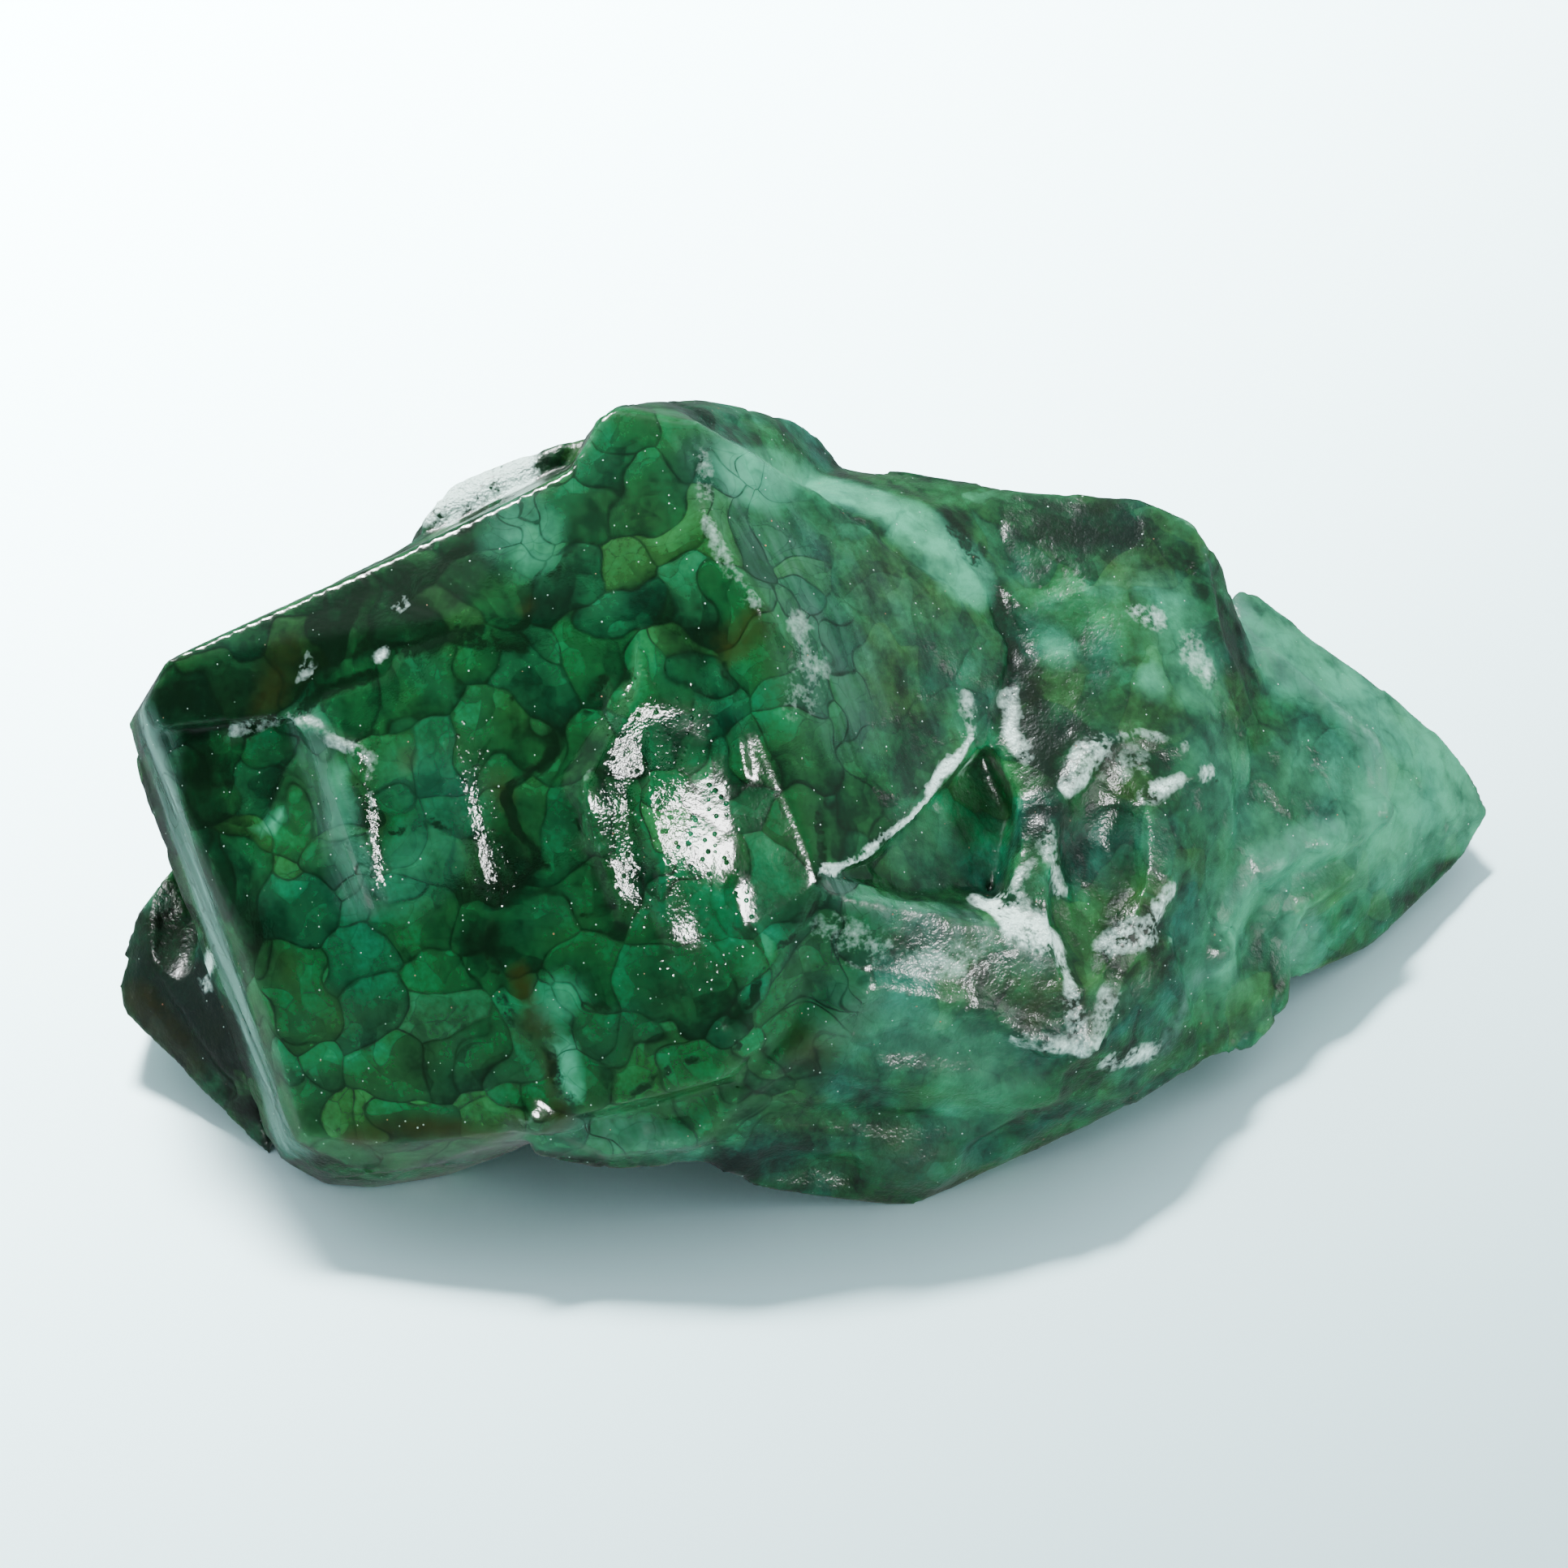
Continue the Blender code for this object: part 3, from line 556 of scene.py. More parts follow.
def brokenCells(tree, warped, size):
    # shell-shaped cells: a random number each, their tilt and the distance to the crack round each
    cell = addNode(tree, "ShaderNodeTexVoronoi", {"Vector": warped, "Scale": 1 / size})
    edge = addNode(tree, "ShaderNodeTexVoronoi", {"Vector": warped, "Scale": 1 / size},
                   feature="DISTANCE_TO_EDGE")
    return cell, edge.outputs["Distance"]


def alongGrain(tree, place):
    # places squeezed along the crystal's long axis, so that a pattern on them is drawn out into grooves
    along = addNode(tree, "ShaderNodeVectorMath", {0: place, 1: emerald["grain"]}, operation="DOT_PRODUCT")
    short = addNode(tree, "ShaderNodeVectorMath", {0: emerald["grain"], "Scale": along.outputs["Value"]},
                    operation="SCALE")
    return addNode(tree, "ShaderNodeVectorMath", {0: short, 1: (-emerald["grainSqueeze"],) * 3, 2: place},
                   operation="MULTIPLY_ADD")


def reliefTree(material):
    tree = bpy.data.node_groups.new("brokenSkin", "GeometryNodeTree")
    tree.interface.new_socket("Geometry", in_out="INPUT", socket_type="NodeSocketGeometry")
    for name in [*emerald["relief"], "calm", "seed"]:
        tree.interface.new_socket(name, in_out="INPUT", socket_type="NodeSocketFloat")
    tree.interface.new_socket("Geometry", in_out="OUTPUT", socket_type="NodeSocketGeometry")
    given = addNode(tree, "NodeGroupInput").outputs
    metres = addNode(tree, "GeometryNodeInputPosition")
    place = addNode(tree, "ShaderNodeVectorMath", {0: metres, "Scale": 1 / mm}, operation="SCALE")
    seeded = addNode(tree, "ShaderNodeVectorMath", {0: place, 1: given["seed"]}, operation="ADD")

    # shallow swells
    swellScale = addNode(tree, "ShaderNodeMath", {0: 1.0, 1: given["swellSize"]}, operation="DIVIDE")
    swell = addNode(tree, "ShaderNodeTexNoise", {"Vector": seeded, "Scale": swellScale, "Detail": 2.0})
    swellFromMiddle = addNode(tree, "ShaderNodeMath", {0: swell.outputs[0], 1: 0.5}, operation="SUBTRACT")
    height = addNode(tree, "ShaderNodeMath", {0: swellFromMiddle, 1: given["swellHeight"]},
                     operation="MULTIPLY")
    # chips, hollowed like the inside of a shell
    chipScale = addNode(tree, "ShaderNodeMath", {0: 1.0, 1: given["chipSize"]}, operation="DIVIDE")
    chip = addNode(tree, "ShaderNodeTexVoronoi", {"Vector": seeded, "Scale": chipScale, "Smoothness": 0.25},
                   feature="SMOOTH_F1")
    chipFromMiddle = addNode(tree, "ShaderNodeMath", {0: chip.outputs["Distance"], 1: 0.45},
                             operation="SUBTRACT")
    height = addNode(tree, "ShaderNodeMath", {0: chipFromMiddle, 1: given["chipHeight"], 2: height},
                     operation="MULTIPLY_ADD")
    # the mosaic: every cell leans its own way, with a crack round it
    warped = warpedPlace(tree, place)
    cell, edge = brokenCells(tree, warped, emerald["cellSize"])
    inward = addNode(tree, "ShaderNodeVectorMath", {0: warped, 1: cell.outputs["Position"]},
                     operation="SUBTRACT")
    lean = addNode(tree, "ShaderNodeVectorMath", {0: cell.outputs["Color"], 1: (0.5, 0.5, 0.5)},
                   operation="SUBTRACT")
    tilt = addNode(tree, "ShaderNodeVectorMath", {0: inward, 1: lean}, operation="DOT_PRODUCT")
    height = addNode(tree, "ShaderNodeMath", {0: tilt.outputs["Value"], 1: given["cellTilt"], 2: height},
                     operation="MULTIPLY_ADD")
    # small pits
    pitScale = addNode(tree, "ShaderNodeMath", {0: 1.0, 1: given["pitSize"]}, operation="DIVIDE")
    pitCell = addNode(tree, "ShaderNodeTexVoronoi", {"Vector": seeded, "Scale": pitScale})
    pit = addNode(tree, "ShaderNodeMapRange",
                  {"Value": pitCell.outputs["Distance"], **emerald["shows"]["pitted"]},
                  interpolation_type="SMOOTHSTEP")
    height = addNode(tree, "ShaderNodeMath", {0: pit, 1: given["pitDepth"], 2: height},
                     operation="MULTIPLY_ADD")
    # the glassy face is calmer
    glassy = addNode(tree, "GeometryNodeInputNamedAttribute", {"Name": "glassy"}, data_type="FLOAT")
    calmness = addNode(tree, "ShaderNodeMath", {0: glassy, 1: given["calm"]}, operation="MULTIPLY")
    lively = addNode(tree, "ShaderNodeMath", {0: 1.0, 1: calmness}, operation="SUBTRACT", use_clamp=True)
    height = addNode(tree, "ShaderNodeMath", {0: height, 1: lively}, operation="MULTIPLY")
    # cracks
    crack = addNode(tree, "ShaderNodeMapRange",
                    {"Value": edge, "From Max": given["crackWidth"], "To Min": -1.0, "To Max": 0.0},
                    interpolation_type="SMOOTHSTEP")
    height = addNode(tree, "ShaderNodeMath", {0: crack, 1: given["crackDepth"], 2: height},
                     operation="MULTIPLY_ADD")
    # fine hammering
    hammer = addNode(tree, "ShaderNodeTexNoise", {"Vector": seeded, "Scale": 1.6, "Detail": 2.0})
    hammerFromMiddle = addNode(tree, "ShaderNodeMath", {0: hammer.outputs[0], 1: 0.5}, operation="SUBTRACT")
    height = addNode(tree, "ShaderNodeMath", {0: hammerFromMiddle, 1: given["hammerHeight"], 2: height},
                     operation="MULTIPLY_ADD")
    # grooves along the crystal on its satin sides
    hazeAndSheen = addNode(tree, "GeometryNodeInputNamedAttribute", {"Name": "hazeAndSheen"}, data_type="FLOAT")
    groove = addNode(tree, "ShaderNodeTexNoise",
                     {"Vector": alongGrain(tree, place), "Scale": 1 / emerald["striae"] / 1.6, "Detail": 1.0})
    grooveFromMiddle = addNode(tree, "ShaderNodeMath", {0: groove.outputs[0], 1: 0.5}, operation="SUBTRACT")
    grooved = addNode(tree, "ShaderNodeMath", {0: grooveFromMiddle, 1: given["grooveDepth"]},
                      operation="MULTIPLY")
    height = addNode(tree, "ShaderNodeMath", {0: grooved, 1: hazeAndSheen, 2: height}, operation="MULTIPLY_ADD")
    # the resting break stays flat
    apart = addNode(tree, "ShaderNodeSeparateXYZ", {0: place})
    offGround = addNode(tree, "ShaderNodeMapRange",
                        {"Value": apart.outputs["Z"], **emerald["shows"]["offGround"]})
    lifted = addNode(tree, "ShaderNodeMath", {0: height, 1: offGround}, operation="MULTIPLY")
    inMetres = addNode(tree, "ShaderNodeMath", {0: lifted, 1: mm}, operation="MULTIPLY")
    outward = addNode(tree, "ShaderNodeVectorMath",
                      {0: addNode(tree, "GeometryNodeInputNormal"), "Scale": inMetres}, operation="SCALE")
    moved = addNode(tree, "GeometryNodeSetPosition", {"Geometry": given["Geometry"], "Offset": outward})
    # broad patterns of colour, worked out once for each point
    clouds = addNode(tree, "ShaderNodeTexNoise", {"Vector": place, "Scale": 1 / emerald["clouds"],
                                                  "Detail": 4.0, "Roughness": 0.6})
    clouded = addNode(tree, "GeometryNodeStoreNamedAttribute",
                      {"Geometry": moved, "Name": "clouds", "Value": clouds.outputs[0]}, data_type="FLOAT")
    tints = addNode(tree, "ShaderNodeTexNoise", {"Vector": place, "Scale": 1 / emerald["tints"],
                                                 "Detail": 4.0, "Roughness": 0.6})
    tinted = addNode(tree, "GeometryNodeStoreNamedAttribute",
                     {"Geometry": clouded, "Name": "tints", "Value": tints.outputs["Color"]},
                     data_type="FLOAT_VECTOR")
    realized = addNode(tree, "GeometryNodeRealizeInstances", {"Geometry": tinted})
    surfaced = addNode(tree, "GeometryNodeSetMaterial", {"Geometry": realized, "Material": material})
    addNode(tree, "NodeGroupOutput", {"Geometry": surfaced})
    return tree


def emeraldMaterial():
    # Raw beryl coloured by chromium: glassy where it split along clean breaks, satin where it is bruised,
    # with healed cracks under the skin, white crushed edges and a little iron stain in the open cracks.
    # Part of its colour is painted light: the satin's grey sheen, glare on some white patches, shade in the
    # creases and light across each cell.
    material = bpy.data.materials.new("rawEmerald")
    material.use_nodes = True
    tree = material.node_tree
    tree.nodes.clear()
    source = addNode(tree, "ShaderNodeTexCoord")
    place = addNode(tree, "ShaderNodeVectorMath", {0: source.outputs["Object"], "Scale": 1 / mm},
                    operation="SCALE")
    shows = emerald["shows"]
    names = [*emerald["paint"], "ridge", "hollow"]
    layer = {name: addNode(tree, "ShaderNodeAttribute", attribute_name=name).outputs["Fac"] for name in names}
    colours = {name: toLinear(colour) for name, colour in emerald["colours"].items()}

    # patterns
    warped = warpedPlace(tree, place)
    cell, cellEdge = brokenCells(tree, warped, emerald["cellSize"])
    shard, shardEdge = brokenCells(tree, warped, emerald["shardSize"])
    pattern = {"cells": cell.outputs["Color"], "shards": shard.outputs["Color"]}
    pattern["clouds"] = addNode(tree, "ShaderNodeAttribute", attribute_name="clouds").outputs["Fac"]
    for name, detail, roughness in (("mottle", 3.0, 0.65), ("grit", 2.0, 0.6)):
        pattern[name] = addNode(tree, "ShaderNodeTexNoise",
                                {"Vector": place, "Scale": 1 / emerald[name], "Detail": detail,
                                 "Roughness": roughness}).outputs["Fac"]
    pattern["striae"] = addNode(tree, "ShaderNodeTexNoise",
                                {"Vector": alongGrain(tree, place), "Scale": 1 / emerald["striae"],
                                 "Detail": 2.0}).outputs["Fac"]
    # the mosaic shows most on the glassy face
    mosaic = addNode(tree, "ShaderNodeMath", {0: layer["glassy"], **shows["mosaic"]},
                     operation="MULTIPLY_ADD", use_clamp=True)
    crackedArea = addNode(tree, "ShaderNodeMapRange", {"Value": pattern["clouds"], **shows["crackedArea"]})
    crackShare = addNode(tree, "ShaderNodeMath", {0: crackedArea, 1: mosaic}, operation="MULTIPLY")

    # tone
    blotch = -sum(emerald["toneOfBlotch"].values()) / 2
    for name, weight in emerald["toneOfBlotch"].items():
        blotch = addNode(tree, "ShaderNodeMath", {0: pattern[name], 1: weight, 2: blotch},
                         operation="MULTIPLY_ADD")
    blotchShare = addNode(tree, "ShaderNodeMapRange",
                          {"Value": layer["glassy"], "To Min": 1.0, "To Max": emerald["glassyBlotches"]})
    evenTone = emerald["toneMiddle"] - sum(emerald["toneOf"].values()) / 2
    tone = addNode(tree, "ShaderNodeMath", {0: blotch, 1: blotchShare, 2: evenTone}, operation="MULTIPLY_ADD")
    for name, weight in emerald["toneOf"].items():
        tone = addNode(tree, "ShaderNodeMath", {0: pattern[name], 1: weight, 2: tone},
                       operation="MULTIPLY_ADD")
    for name, weight in emerald["toneOfLayer"].items():
        tone = addNode(tree, "ShaderNodeMath", {0: layer[name], 1: weight, 2: tone},
                       operation="MULTIPLY_ADD")
    # painted light: each cell is lighter towards its upper left and darker towards its lower right, as if lit
    # from there
    inward = addNode(tree, "ShaderNodeVectorMath", {0: warped, 1: cell.outputs["Position"]},
                     operation="SUBTRACT")
    upward = addNode(tree, "ShaderNodeVectorMath", {0: inward, 1: tuple(viewUp - 0.5 * viewRight)},
                     operation="DOT_PRODUCT")
    shelfLit = addNode(tree, "ShaderNodeMath", {0: upward.outputs["Value"], 1: mosaic}, operation="MULTIPLY")
    tone = addNode(tree, "ShaderNodeMath", {0: shelfLit, 1: emerald["paintedShelfLight"], 2: tone},
                   operation="MULTIPLY_ADD")
    rim = addNode(tree, "ShaderNodeMapRange", {"Value": cellEdge, **shows["rim"]},
                  interpolation_type="SMOOTHSTEP")
    rimmed = addNode(tree, "ShaderNodeMath", {0: rim, 1: mosaic}, operation="MULTIPLY")
    tone = addNode(tree, "ShaderNodeMath", {0: rimmed, 1: emerald["rimTone"], 2: tone},
                   operation="MULTIPLY_ADD")
    ramp = addNode(tree, "ShaderNodeValToRGB", {0: tone})
    stops = ramp.color_ramp.elements
    stops[0].position, stops[0].color = 0.0, colours["nearBlack"]
    stops[1].position, stops[1].color = 1.0, colours["light"]
    for position, name in ((0.22, "deep"), (0.5, "middle"), (0.76, "bright")):
        stops.new(position).color = colours[name]

    # hue drifts from cell to cell
    hue = addNode(tree, "ShaderNodeSeparateColor", {0: cell.outputs["Color"]}).outputs
    yellowed = addNode(tree, "ShaderNodeMapRange", {"Value": hue["Green"], **shows["yellowed"]})
    blued = addNode(tree, "ShaderNodeMapRange", {"Value": hue["Blue"], **shows["blued"]})
    drift = addNode(tree, "ShaderNodeAttribute", attribute_name="tints").outputs["Vector"]
    drifts = addNode(tree, "ShaderNodeSeparateXYZ", {0: drift}).outputs
    veiled = addNode(tree, "ShaderNodeMapRange", {"Value": layer["glassy"], **shows["veiled"]})
    tints = {}
    for name, (channel, low, most) in emerald["tintOf"].items():
        share = addNode(tree, "ShaderNodeMapRange",
                        {"Value": drifts[channel], "From Min": low, "From Max": low + emerald["tintFade"],
                         "To Max": most})
        tints[name] = addNode(tree, "ShaderNodeMath", {0: share, 1: veiled}, operation="MULTIPLY")
    stain = addNode(tree, "ShaderNodeMath", {0: layer["rust"], 1: pattern["mottle"], 2: 0.0},
                    operation="MULTIPLY_ADD")
    stained = addNode(tree, "ShaderNodeMapRange", {"Value": stain, **shows["stained"]})
    # milky veils run along the grain
    milky = addNode(tree, "ShaderNodeMapRange", {"Value": pattern["mottle"], **shows["milky"]})
    minted = addNode(tree, "ShaderNodeMath", {0: layer["mint"], 1: milky}, operation="MULTIPLY",
                     use_clamp=True)
    # the satin's grey-green, drawn out along the grain: a painted sheen
    streaky = addNode(tree, "ShaderNodeMapRange", {"Value": pattern["striae"], **shows["streaky"]})
    hazedAndSheened = addNode(tree, "ShaderNodeMath", {0: layer["hazeAndSheen"], 1: streaky}, operation="MULTIPLY",
                    use_clamp=True)
    # cracks
    ring = addNode(tree, "ShaderNodeMapRange", {"Value": cellEdge, **shows["ring"]})
    hair = addNode(tree, "ShaderNodeMapRange", {"Value": shardEdge, **shows["hair"]})
    ringOrHair = addNode(tree, "ShaderNodeMath", {0: ring, 1: hair}, operation="MAXIMUM")
    halfOpen = addNode(tree, "ShaderNodeMapRange", {"Value": pattern["mottle"], **shows["halfOpen"]})
    partly = addNode(tree, "ShaderNodeMath", {0: ringOrHair, 1: halfOpen}, operation="MULTIPLY")
    mosaicCrack = addNode(tree, "ShaderNodeMath", {0: partly, 1: crackShare}, operation="MULTIPLY")
    rag = addNode(tree, "ShaderNodeMath", {0: pattern["grit"], 1: pattern["mottle"]}, operation="ADD")
    ragged = addNode(tree, "ShaderNodeMath", {0: rag, **shows["ragged"]}, operation="MULTIPLY_ADD")
    drawnCrack = addNode(tree, "ShaderNodeMath", {0: layer["crack"], 1: ragged}, operation="MULTIPLY")
    crack = addNode(tree, "ShaderNodeMapRange", {"Value": drawnCrack, **shows["drawnCrack"]})
    cracks = addNode(tree, "ShaderNodeMath", {0: mosaicCrack, 1: crack}, operation="MAXIMUM")
    dark = addNode(tree, "ShaderNodeMath", {0: cracks, **shows["darkness"]}, operation="MULTIPLY")
    # crushed white edges and patches, ragged; on the back edge and the fracture facets the white is partly a
    # painted glare
    wornRidgeAndGlare = addNode(tree, "ShaderNodeMath", {0: layer["ridge"], **shows["wornRidgeAndGlare"], 2: layer["frostAndGlare"]},
                        operation="MULTIPLY_ADD")
    crumb = addNode(tree, "ShaderNodeMath", {0: rag, 1: pattern["mottle"]}, operation="ADD")
    crumbled = addNode(tree, "ShaderNodeMath", {0: crumb, **shows["crumbled"]}, operation="MULTIPLY_ADD")
    crushedAndGlare = addNode(tree, "ShaderNodeMath", {0: wornRidgeAndGlare, 1: crumbled}, operation="MULTIPLY")
    powderAndGlare = addNode(tree, "ShaderNodeMapRange", {"Value": crushedAndGlare, **shows["powderAndGlare"]})
    # dust, each speck its own size
    speck = addNode(tree, "ShaderNodeTexVoronoi", {"Vector": place, "Scale": 1 / emerald["dust"]})
    speckLot = addNode(tree, "ShaderNodeSeparateColor", {0: speck.outputs["Color"]}).outputs
    radius = addNode(tree, "ShaderNodeMath", {0: speckLot["Red"], **shows["speckRadius"]},
                     operation="MULTIPLY_ADD")
    inside = addNode(tree, "ShaderNodeMath", {0: radius, 1: speck.outputs["Distance"]}, operation="SUBTRACT")
    dust = addNode(tree, "ShaderNodeMapRange", {"Value": inside, **shows["dust"]})
    rusty = addNode(tree, "ShaderNodeMath", {0: speckLot["Green"], **shows["rustySpeck"]},
                    operation="GREATER_THAN")
    ember = addNode(tree, "ShaderNodeMath", {0: dust, 1: rusty}, operation="MULTIPLY")

    colour = ramp.outputs["Color"]
    for amount, name in ((tints["leaf"], "leaf"), (tints["olive"], "olive"), (tints["teal"], "teal"),
                         (yellowed, "olive"), (blued, "teal")):
        mix = addNode(tree, "ShaderNodeMix", {0: amount, 6: colour, 7: colours[name]}, data_type="RGBA",
                      blend_type="COLOR")
        colour = mix.outputs[2]
    # over it: stains, milky mint, the satin's painted sheen, cracks, white powder with painted glare, dust
    # and orange specks
    for amount, name in ((stained, "rust"), (minted, "mint"), (hazedAndSheened, "hazeAndSheen"), (dark, "nearBlack"),
                         (powderAndGlare, "frostAndGlare"), (dust, "frostAndGlare"), (ember, "ember")):
        mix = addNode(tree, "ShaderNodeMix", {0: amount, 6: colour, 7: colours[name]}, data_type="RGBA")
        colour = mix.outputs[2]

    # glassy and satin skin
    satin = addNode(tree, "ShaderNodeMapRange",
                    {"Value": layer["glassy"], "To Min": emerald["satinRoughness"],
                     "To Max": emerald["glassRoughness"]})
    hazeRough = addNode(tree, "ShaderNodeMath", {0: hazedAndSheened, **shows["hazeRoughness"]}, operation="MULTIPLY")
    bruised = addNode(tree, "ShaderNodeMath", {0: powderAndGlare, **shows["powderRoughness"]}, operation="MULTIPLY")
    rougher = addNode(tree, "ShaderNodeMath", {0: satin, 1: hazeRough}, operation="MAXIMUM")
    rough = addNode(tree, "ShaderNodeMath", {0: rougher, 1: bruised}, operation="MAXIMUM")
    smoothness = addNode(tree, "ShaderNodeMath", {0: layer["glassy"], 1: layer["pocked"]},
                         operation="SUBTRACT")
    unevenness = addNode(tree, "ShaderNodeMapRange", {"Value": smoothness, **shows["unevenness"]})
    pinhole = addNode(tree, "ShaderNodeTexVoronoi", {"Vector": place, "Scale": 1 / emerald["pinholes"]})
    sunk = addNode(tree, "ShaderNodeMapRange", {"Value": pinhole.outputs["Distance"], **shows["pinhole"]})
    dents = emerald["dents"]
    pockedSkin = addNode(tree, "ShaderNodeBump",
                         {"Height": sunk, "Distance": dents["pinholes"] * mm, "Strength": layer["pocked"]})
    hammered = addNode(tree, "ShaderNodeBump",
                       {"Height": pattern["grit"], "Distance": dents["hammering"] * mm,
                        "Strength": unevenness, "Normal": pockedSkin})
    sugar = addNode(tree, "ShaderNodeTexNoise",
                    {"Vector": place, "Scale": 1 / emerald["sugar"], "Detail": 1.0})
    sugared = addNode(tree, "ShaderNodeBump",
                      {"Height": sugar, "Distance": dents["powderAndGlare"] * mm, "Strength": powderAndGlare,
                       "Normal": hammered})
    through = addNode(tree, "ShaderNodeMapRange", {"Value": powderAndGlare, "To Min": emerald["transmission"],
                                                   "To Max": 0.0})
    shader = addNode(tree, "ShaderNodeBsdfPrincipled", {
        "Base Color": colour, "Roughness": rough, "IOR": emerald["ior"], "Normal": sugared,
        "Transmission Weight": through, "Specular IOR Level": emerald["specular"],
    })
    addNode(tree, "ShaderNodeOutputMaterial", {"Surface": shader})
    return material


def roughen(piece, material):
    tree = reliefTree(material)
    relief = piece.modifiers.new("brokenSkin", "NODES")
    relief.node_group = tree
    values = {**emerald["relief"], "calm": emerald["calm"], "seed": float(emerald["seed"])}
    for item in tree.interface.items_tree:
        if item.in_out == "INPUT" and item.name in values:
            relief[item.identifier] = values[item.name]
    workIn(piece)
    thin = piece.modifiers.new("thin", "DECIMATE")
    triangles = len(piece.data.polygons) * 2
    thin.ratio = min(1.0, emerald["faceLimit"] / triangles)
    workIn(piece)
    piece.data.shade_smooth()


rawEmerald = emeraldMaterial()
roughen(stone, rawEmerald)
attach(stone, "root")
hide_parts("emerald_crystal")
print("broken skin", len(stone.data.polygons), "faces")

studio = {
    "floorSize": 6.0,  # m
    "floorColour": "#d6f6f8",
    "tentColour": "#dbe7ee",
    "tentStrength": 3.0,
    "darkFront": 0.04,
    "opening": (0.35, 0.95),  # cosines from the camera's way in, where the tent starts and ends to darken
    "veil": 0.12,  # share of the tent's light that a reflection shows
    # the lamp washes the floor from behind, so that it fades towards the camera
    "lamp": {"place": (-0.11, 0.27, 0.41), "aim": (-0.085, 0.13, 0.0), "radius": 0.12, "cone": 25,
             "power": 640, "colour": "#fbfdff"},
    # the snoot burns out the broken back edge
    "snoot": {"place": (-0.27, 0.32, 0.43), "aim": (590, 606), "radius": 0.02, "cone": 2.0, "power": 150,
              "colour": "#ffffff"},
    # panels: where each stands, its size, its power in watts, its colour, whether it glints or fills
    "panels": {
        "glint": ((0.208, -0.620, 0.437), (0.16, 0.23), 10.6, "#ffffff", "glints"),
        "rim": ((-0.27, 0.32, 0.43), (0.15, 0.15), 4.0, "#ffffff", "glints"),
        "side": ((0.42, -0.25, 0.12), (0.16, 0.16), 2.2, "#ffffff", "fills"),
        "top": ((-0.10, 0.16, 0.42), (0.16, 0.16), 2.9, "#f4f8ff", "fills"),
    },
}


def addFloor():
    mesh = bpy.data.meshes.new("floor")
    work = bmesh.new()
    bmesh.ops.create_grid(work, x_segments=1, y_segments=1, size=studio["floorSize"] / 2)
    work.to_mesh(mesh)
    work.free()
    floor = bpy.data.objects.new("floor", mesh)
    bpy.context.scene.collection.objects.link(floor)
    card = bpy.data.materials.new("whiteCard")
    card.use_nodes = True
    shader = card.node_tree.nodes["Principled BSDF"]
    shader.inputs["Base Color"].default_value = toLinear(studio["floorColour"])
    shader.inputs["Roughness"].default_value = 0.8
    mesh.materials.append(card)
    floor.visible_glossy = False  # the stone mirrors the tent alone


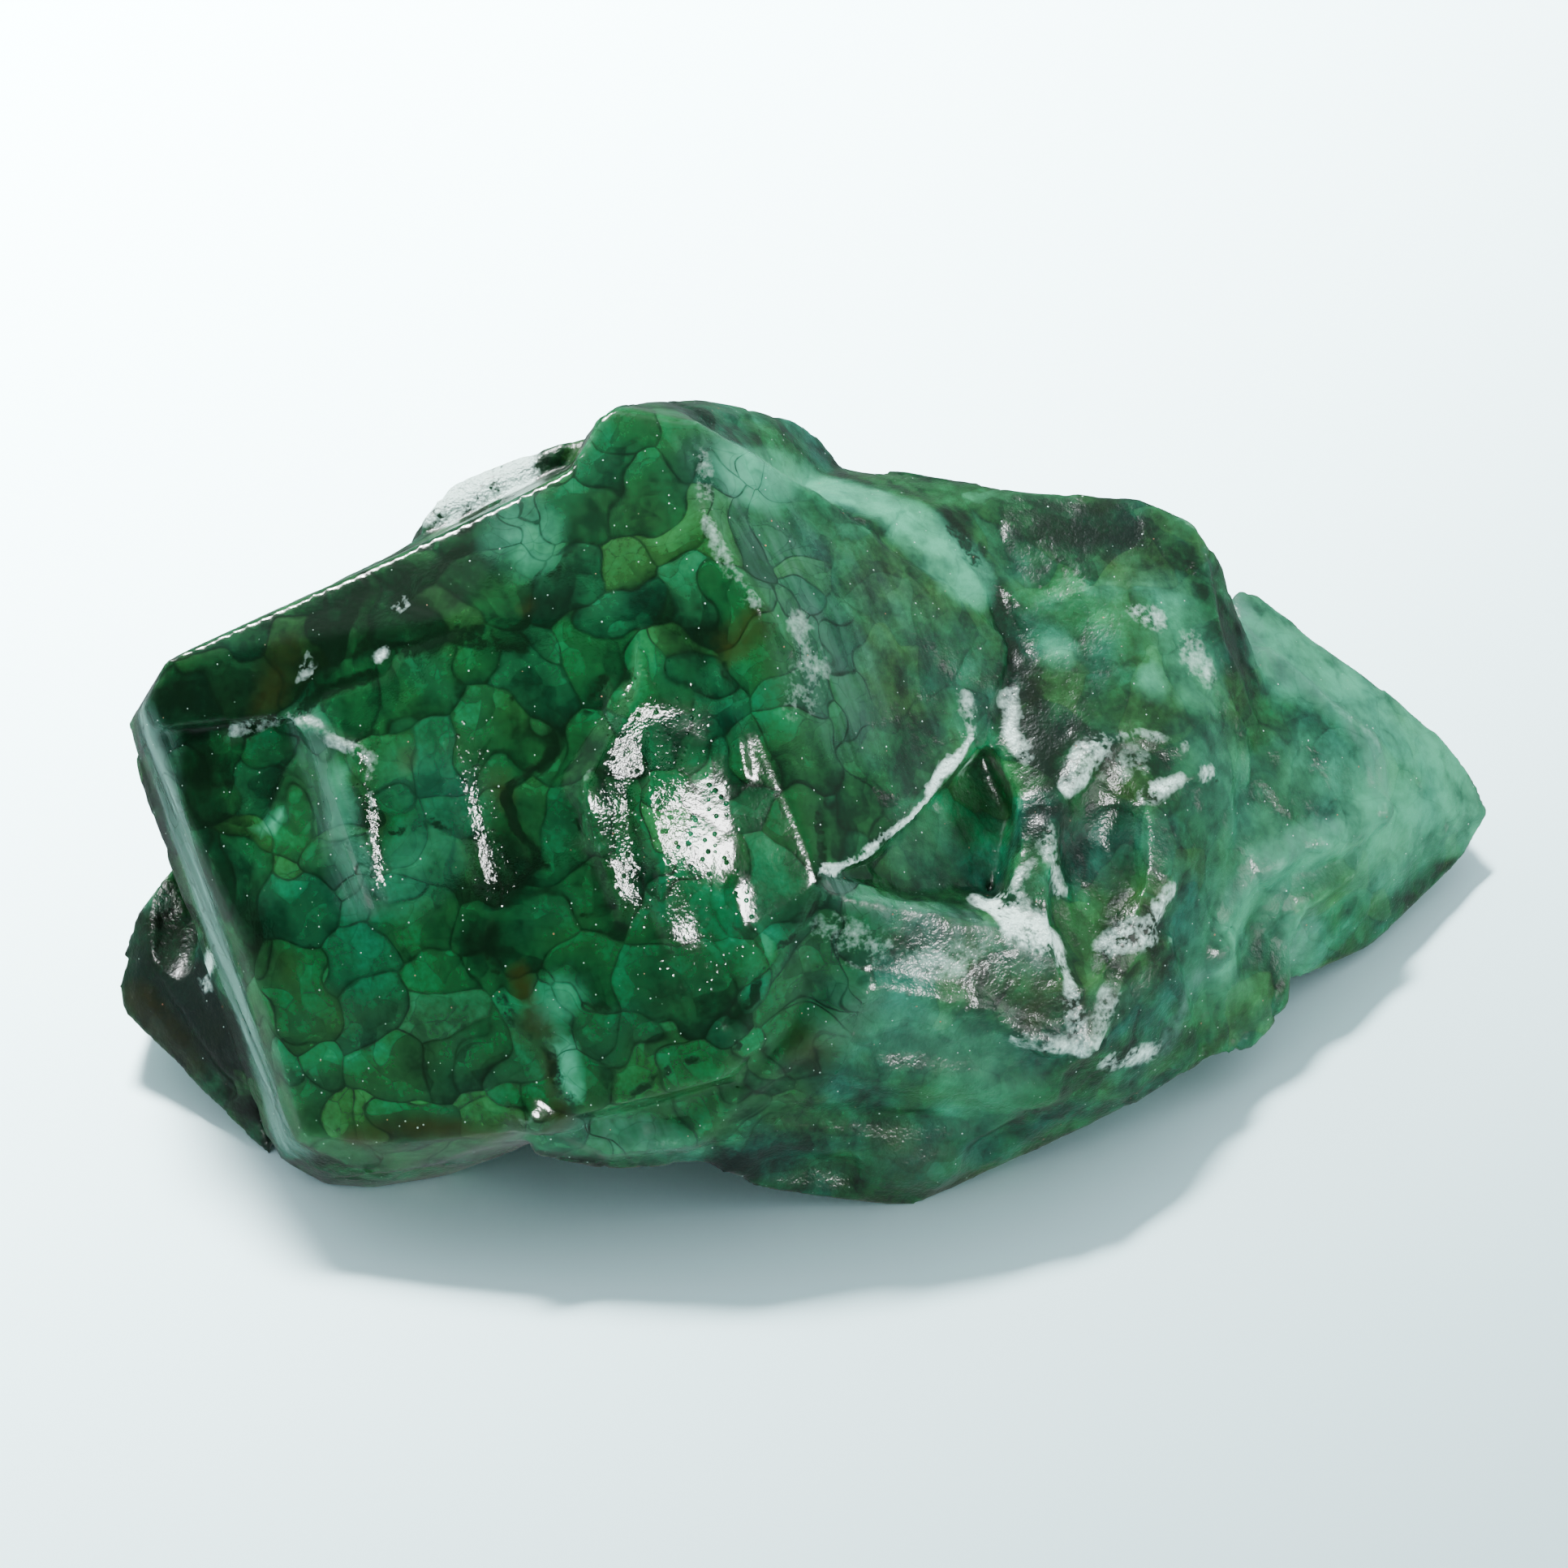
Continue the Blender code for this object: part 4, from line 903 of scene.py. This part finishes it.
def addTent():
    # an even pale tent with a dark opening where the camera looks in
    world = bpy.data.worlds.new("tent")
    bpy.context.scene.world = world
    world.use_nodes = True
    tree = world.node_tree
    tree.nodes.clear()
    direction = addNode(tree, "ShaderNodeTexCoord").outputs["Generated"]
    front = addNode(tree, "ShaderNodeVectorMath", {0: direction, 1: tuple(-viewForward)},
                    operation="DOT_PRODUCT")
    start, end = studio["opening"]
    opening = addNode(tree, "ShaderNodeMapRange",
                      {"Value": front.outputs["Value"], "From Min": start, "From Max": end,
                       "To Min": studio["tentStrength"], "To Max": studio["darkFront"]},
                      interpolation_type="SMOOTHSTEP")
    # a mirror reflection is given only a small share of the tent's light
    reflected = addNode(tree, "ShaderNodeLightPath").outputs["Is Glossy Ray"]
    share = addNode(tree, "ShaderNodeMapRange", {"Value": reflected, "To Min": 1.0, "To Max": studio["veil"]})
    strength = addNode(tree, "ShaderNodeMath", {0: opening, 1: share}, operation="MULTIPLY")
    glow = addNode(tree, "ShaderNodeBackground",
                   {"Color": toLinear(studio["tentColour"]), "Strength": strength})
    addNode(tree, "ShaderNodeOutputWorld", {"Surface": glow})


def placeLight(data, place, aim):
    light = bpy.data.objects.new(data.name, data)
    bpy.context.scene.collection.objects.link(light)
    light.location = place
    light.rotation_euler = (Vector(aim) - Vector(place)).to_track_quat("-Z", "Y").to_euler()
    light.visible_camera = False
    return light


def lightOnly(light, piece):
    # the lamp washes the floor and the panels model the stone
    lit = bpy.data.collections.new(light.name + "Lights")
    lit.objects.link(piece)
    light.light_linking.receiver_collection = lit


def addSpot(name, spot, aim, piece):
    data = bpy.data.lights.new(name, "SPOT")
    data.energy = spot["power"]
    data.shadow_soft_size = spot["radius"]
    data.spot_size = math.radians(spot["cone"])
    data.spot_blend = 1.0
    data.color = toLinear(spot["colour"])[:3]
    lightOnly(placeLight(data, spot["place"], aim), piece)


def addLights():
    addSpot("lamp", studio["lamp"], studio["lamp"]["aim"], bpy.data.objects["floor"])
    addSpot("snoot", studio["snoot"], pointOnStone(studio["snoot"]["aim"]) * mm, stone)
    for name, (place, size, power, colour, use) in studio["panels"].items():
        data = bpy.data.lights.new(name, "AREA")
        data.shape = "RECTANGLE"
        data.size, data.size_y = size
        data.energy = power
        data.color = toLinear(colour)[:3]
        panel = placeLight(data, place, viewTarget * mm)
        panel.visible_diffuse = use == "fills"
        panel.visible_glossy = use == "glints"
        lightOnly(panel, stone)


def addCamera():
    data = bpy.data.cameras.new("camera")
    data.lens = view["lens"]
    data.sensor_width = view["sensor"]
    data.clip_start = 0.01
    camera = bpy.data.objects.new("camera", data)
    turn = viewForward.to_track_quat("-Z", "Y").to_matrix().to_4x4()
    camera.matrix_world = Matrix.Translation(viewEye * mm) @ turn
    bpy.context.scene.collection.objects.link(camera)
    bpy.context.scene.camera = camera


addFloor()
addTent()
addLights()
addCamera()
print("studio ready")
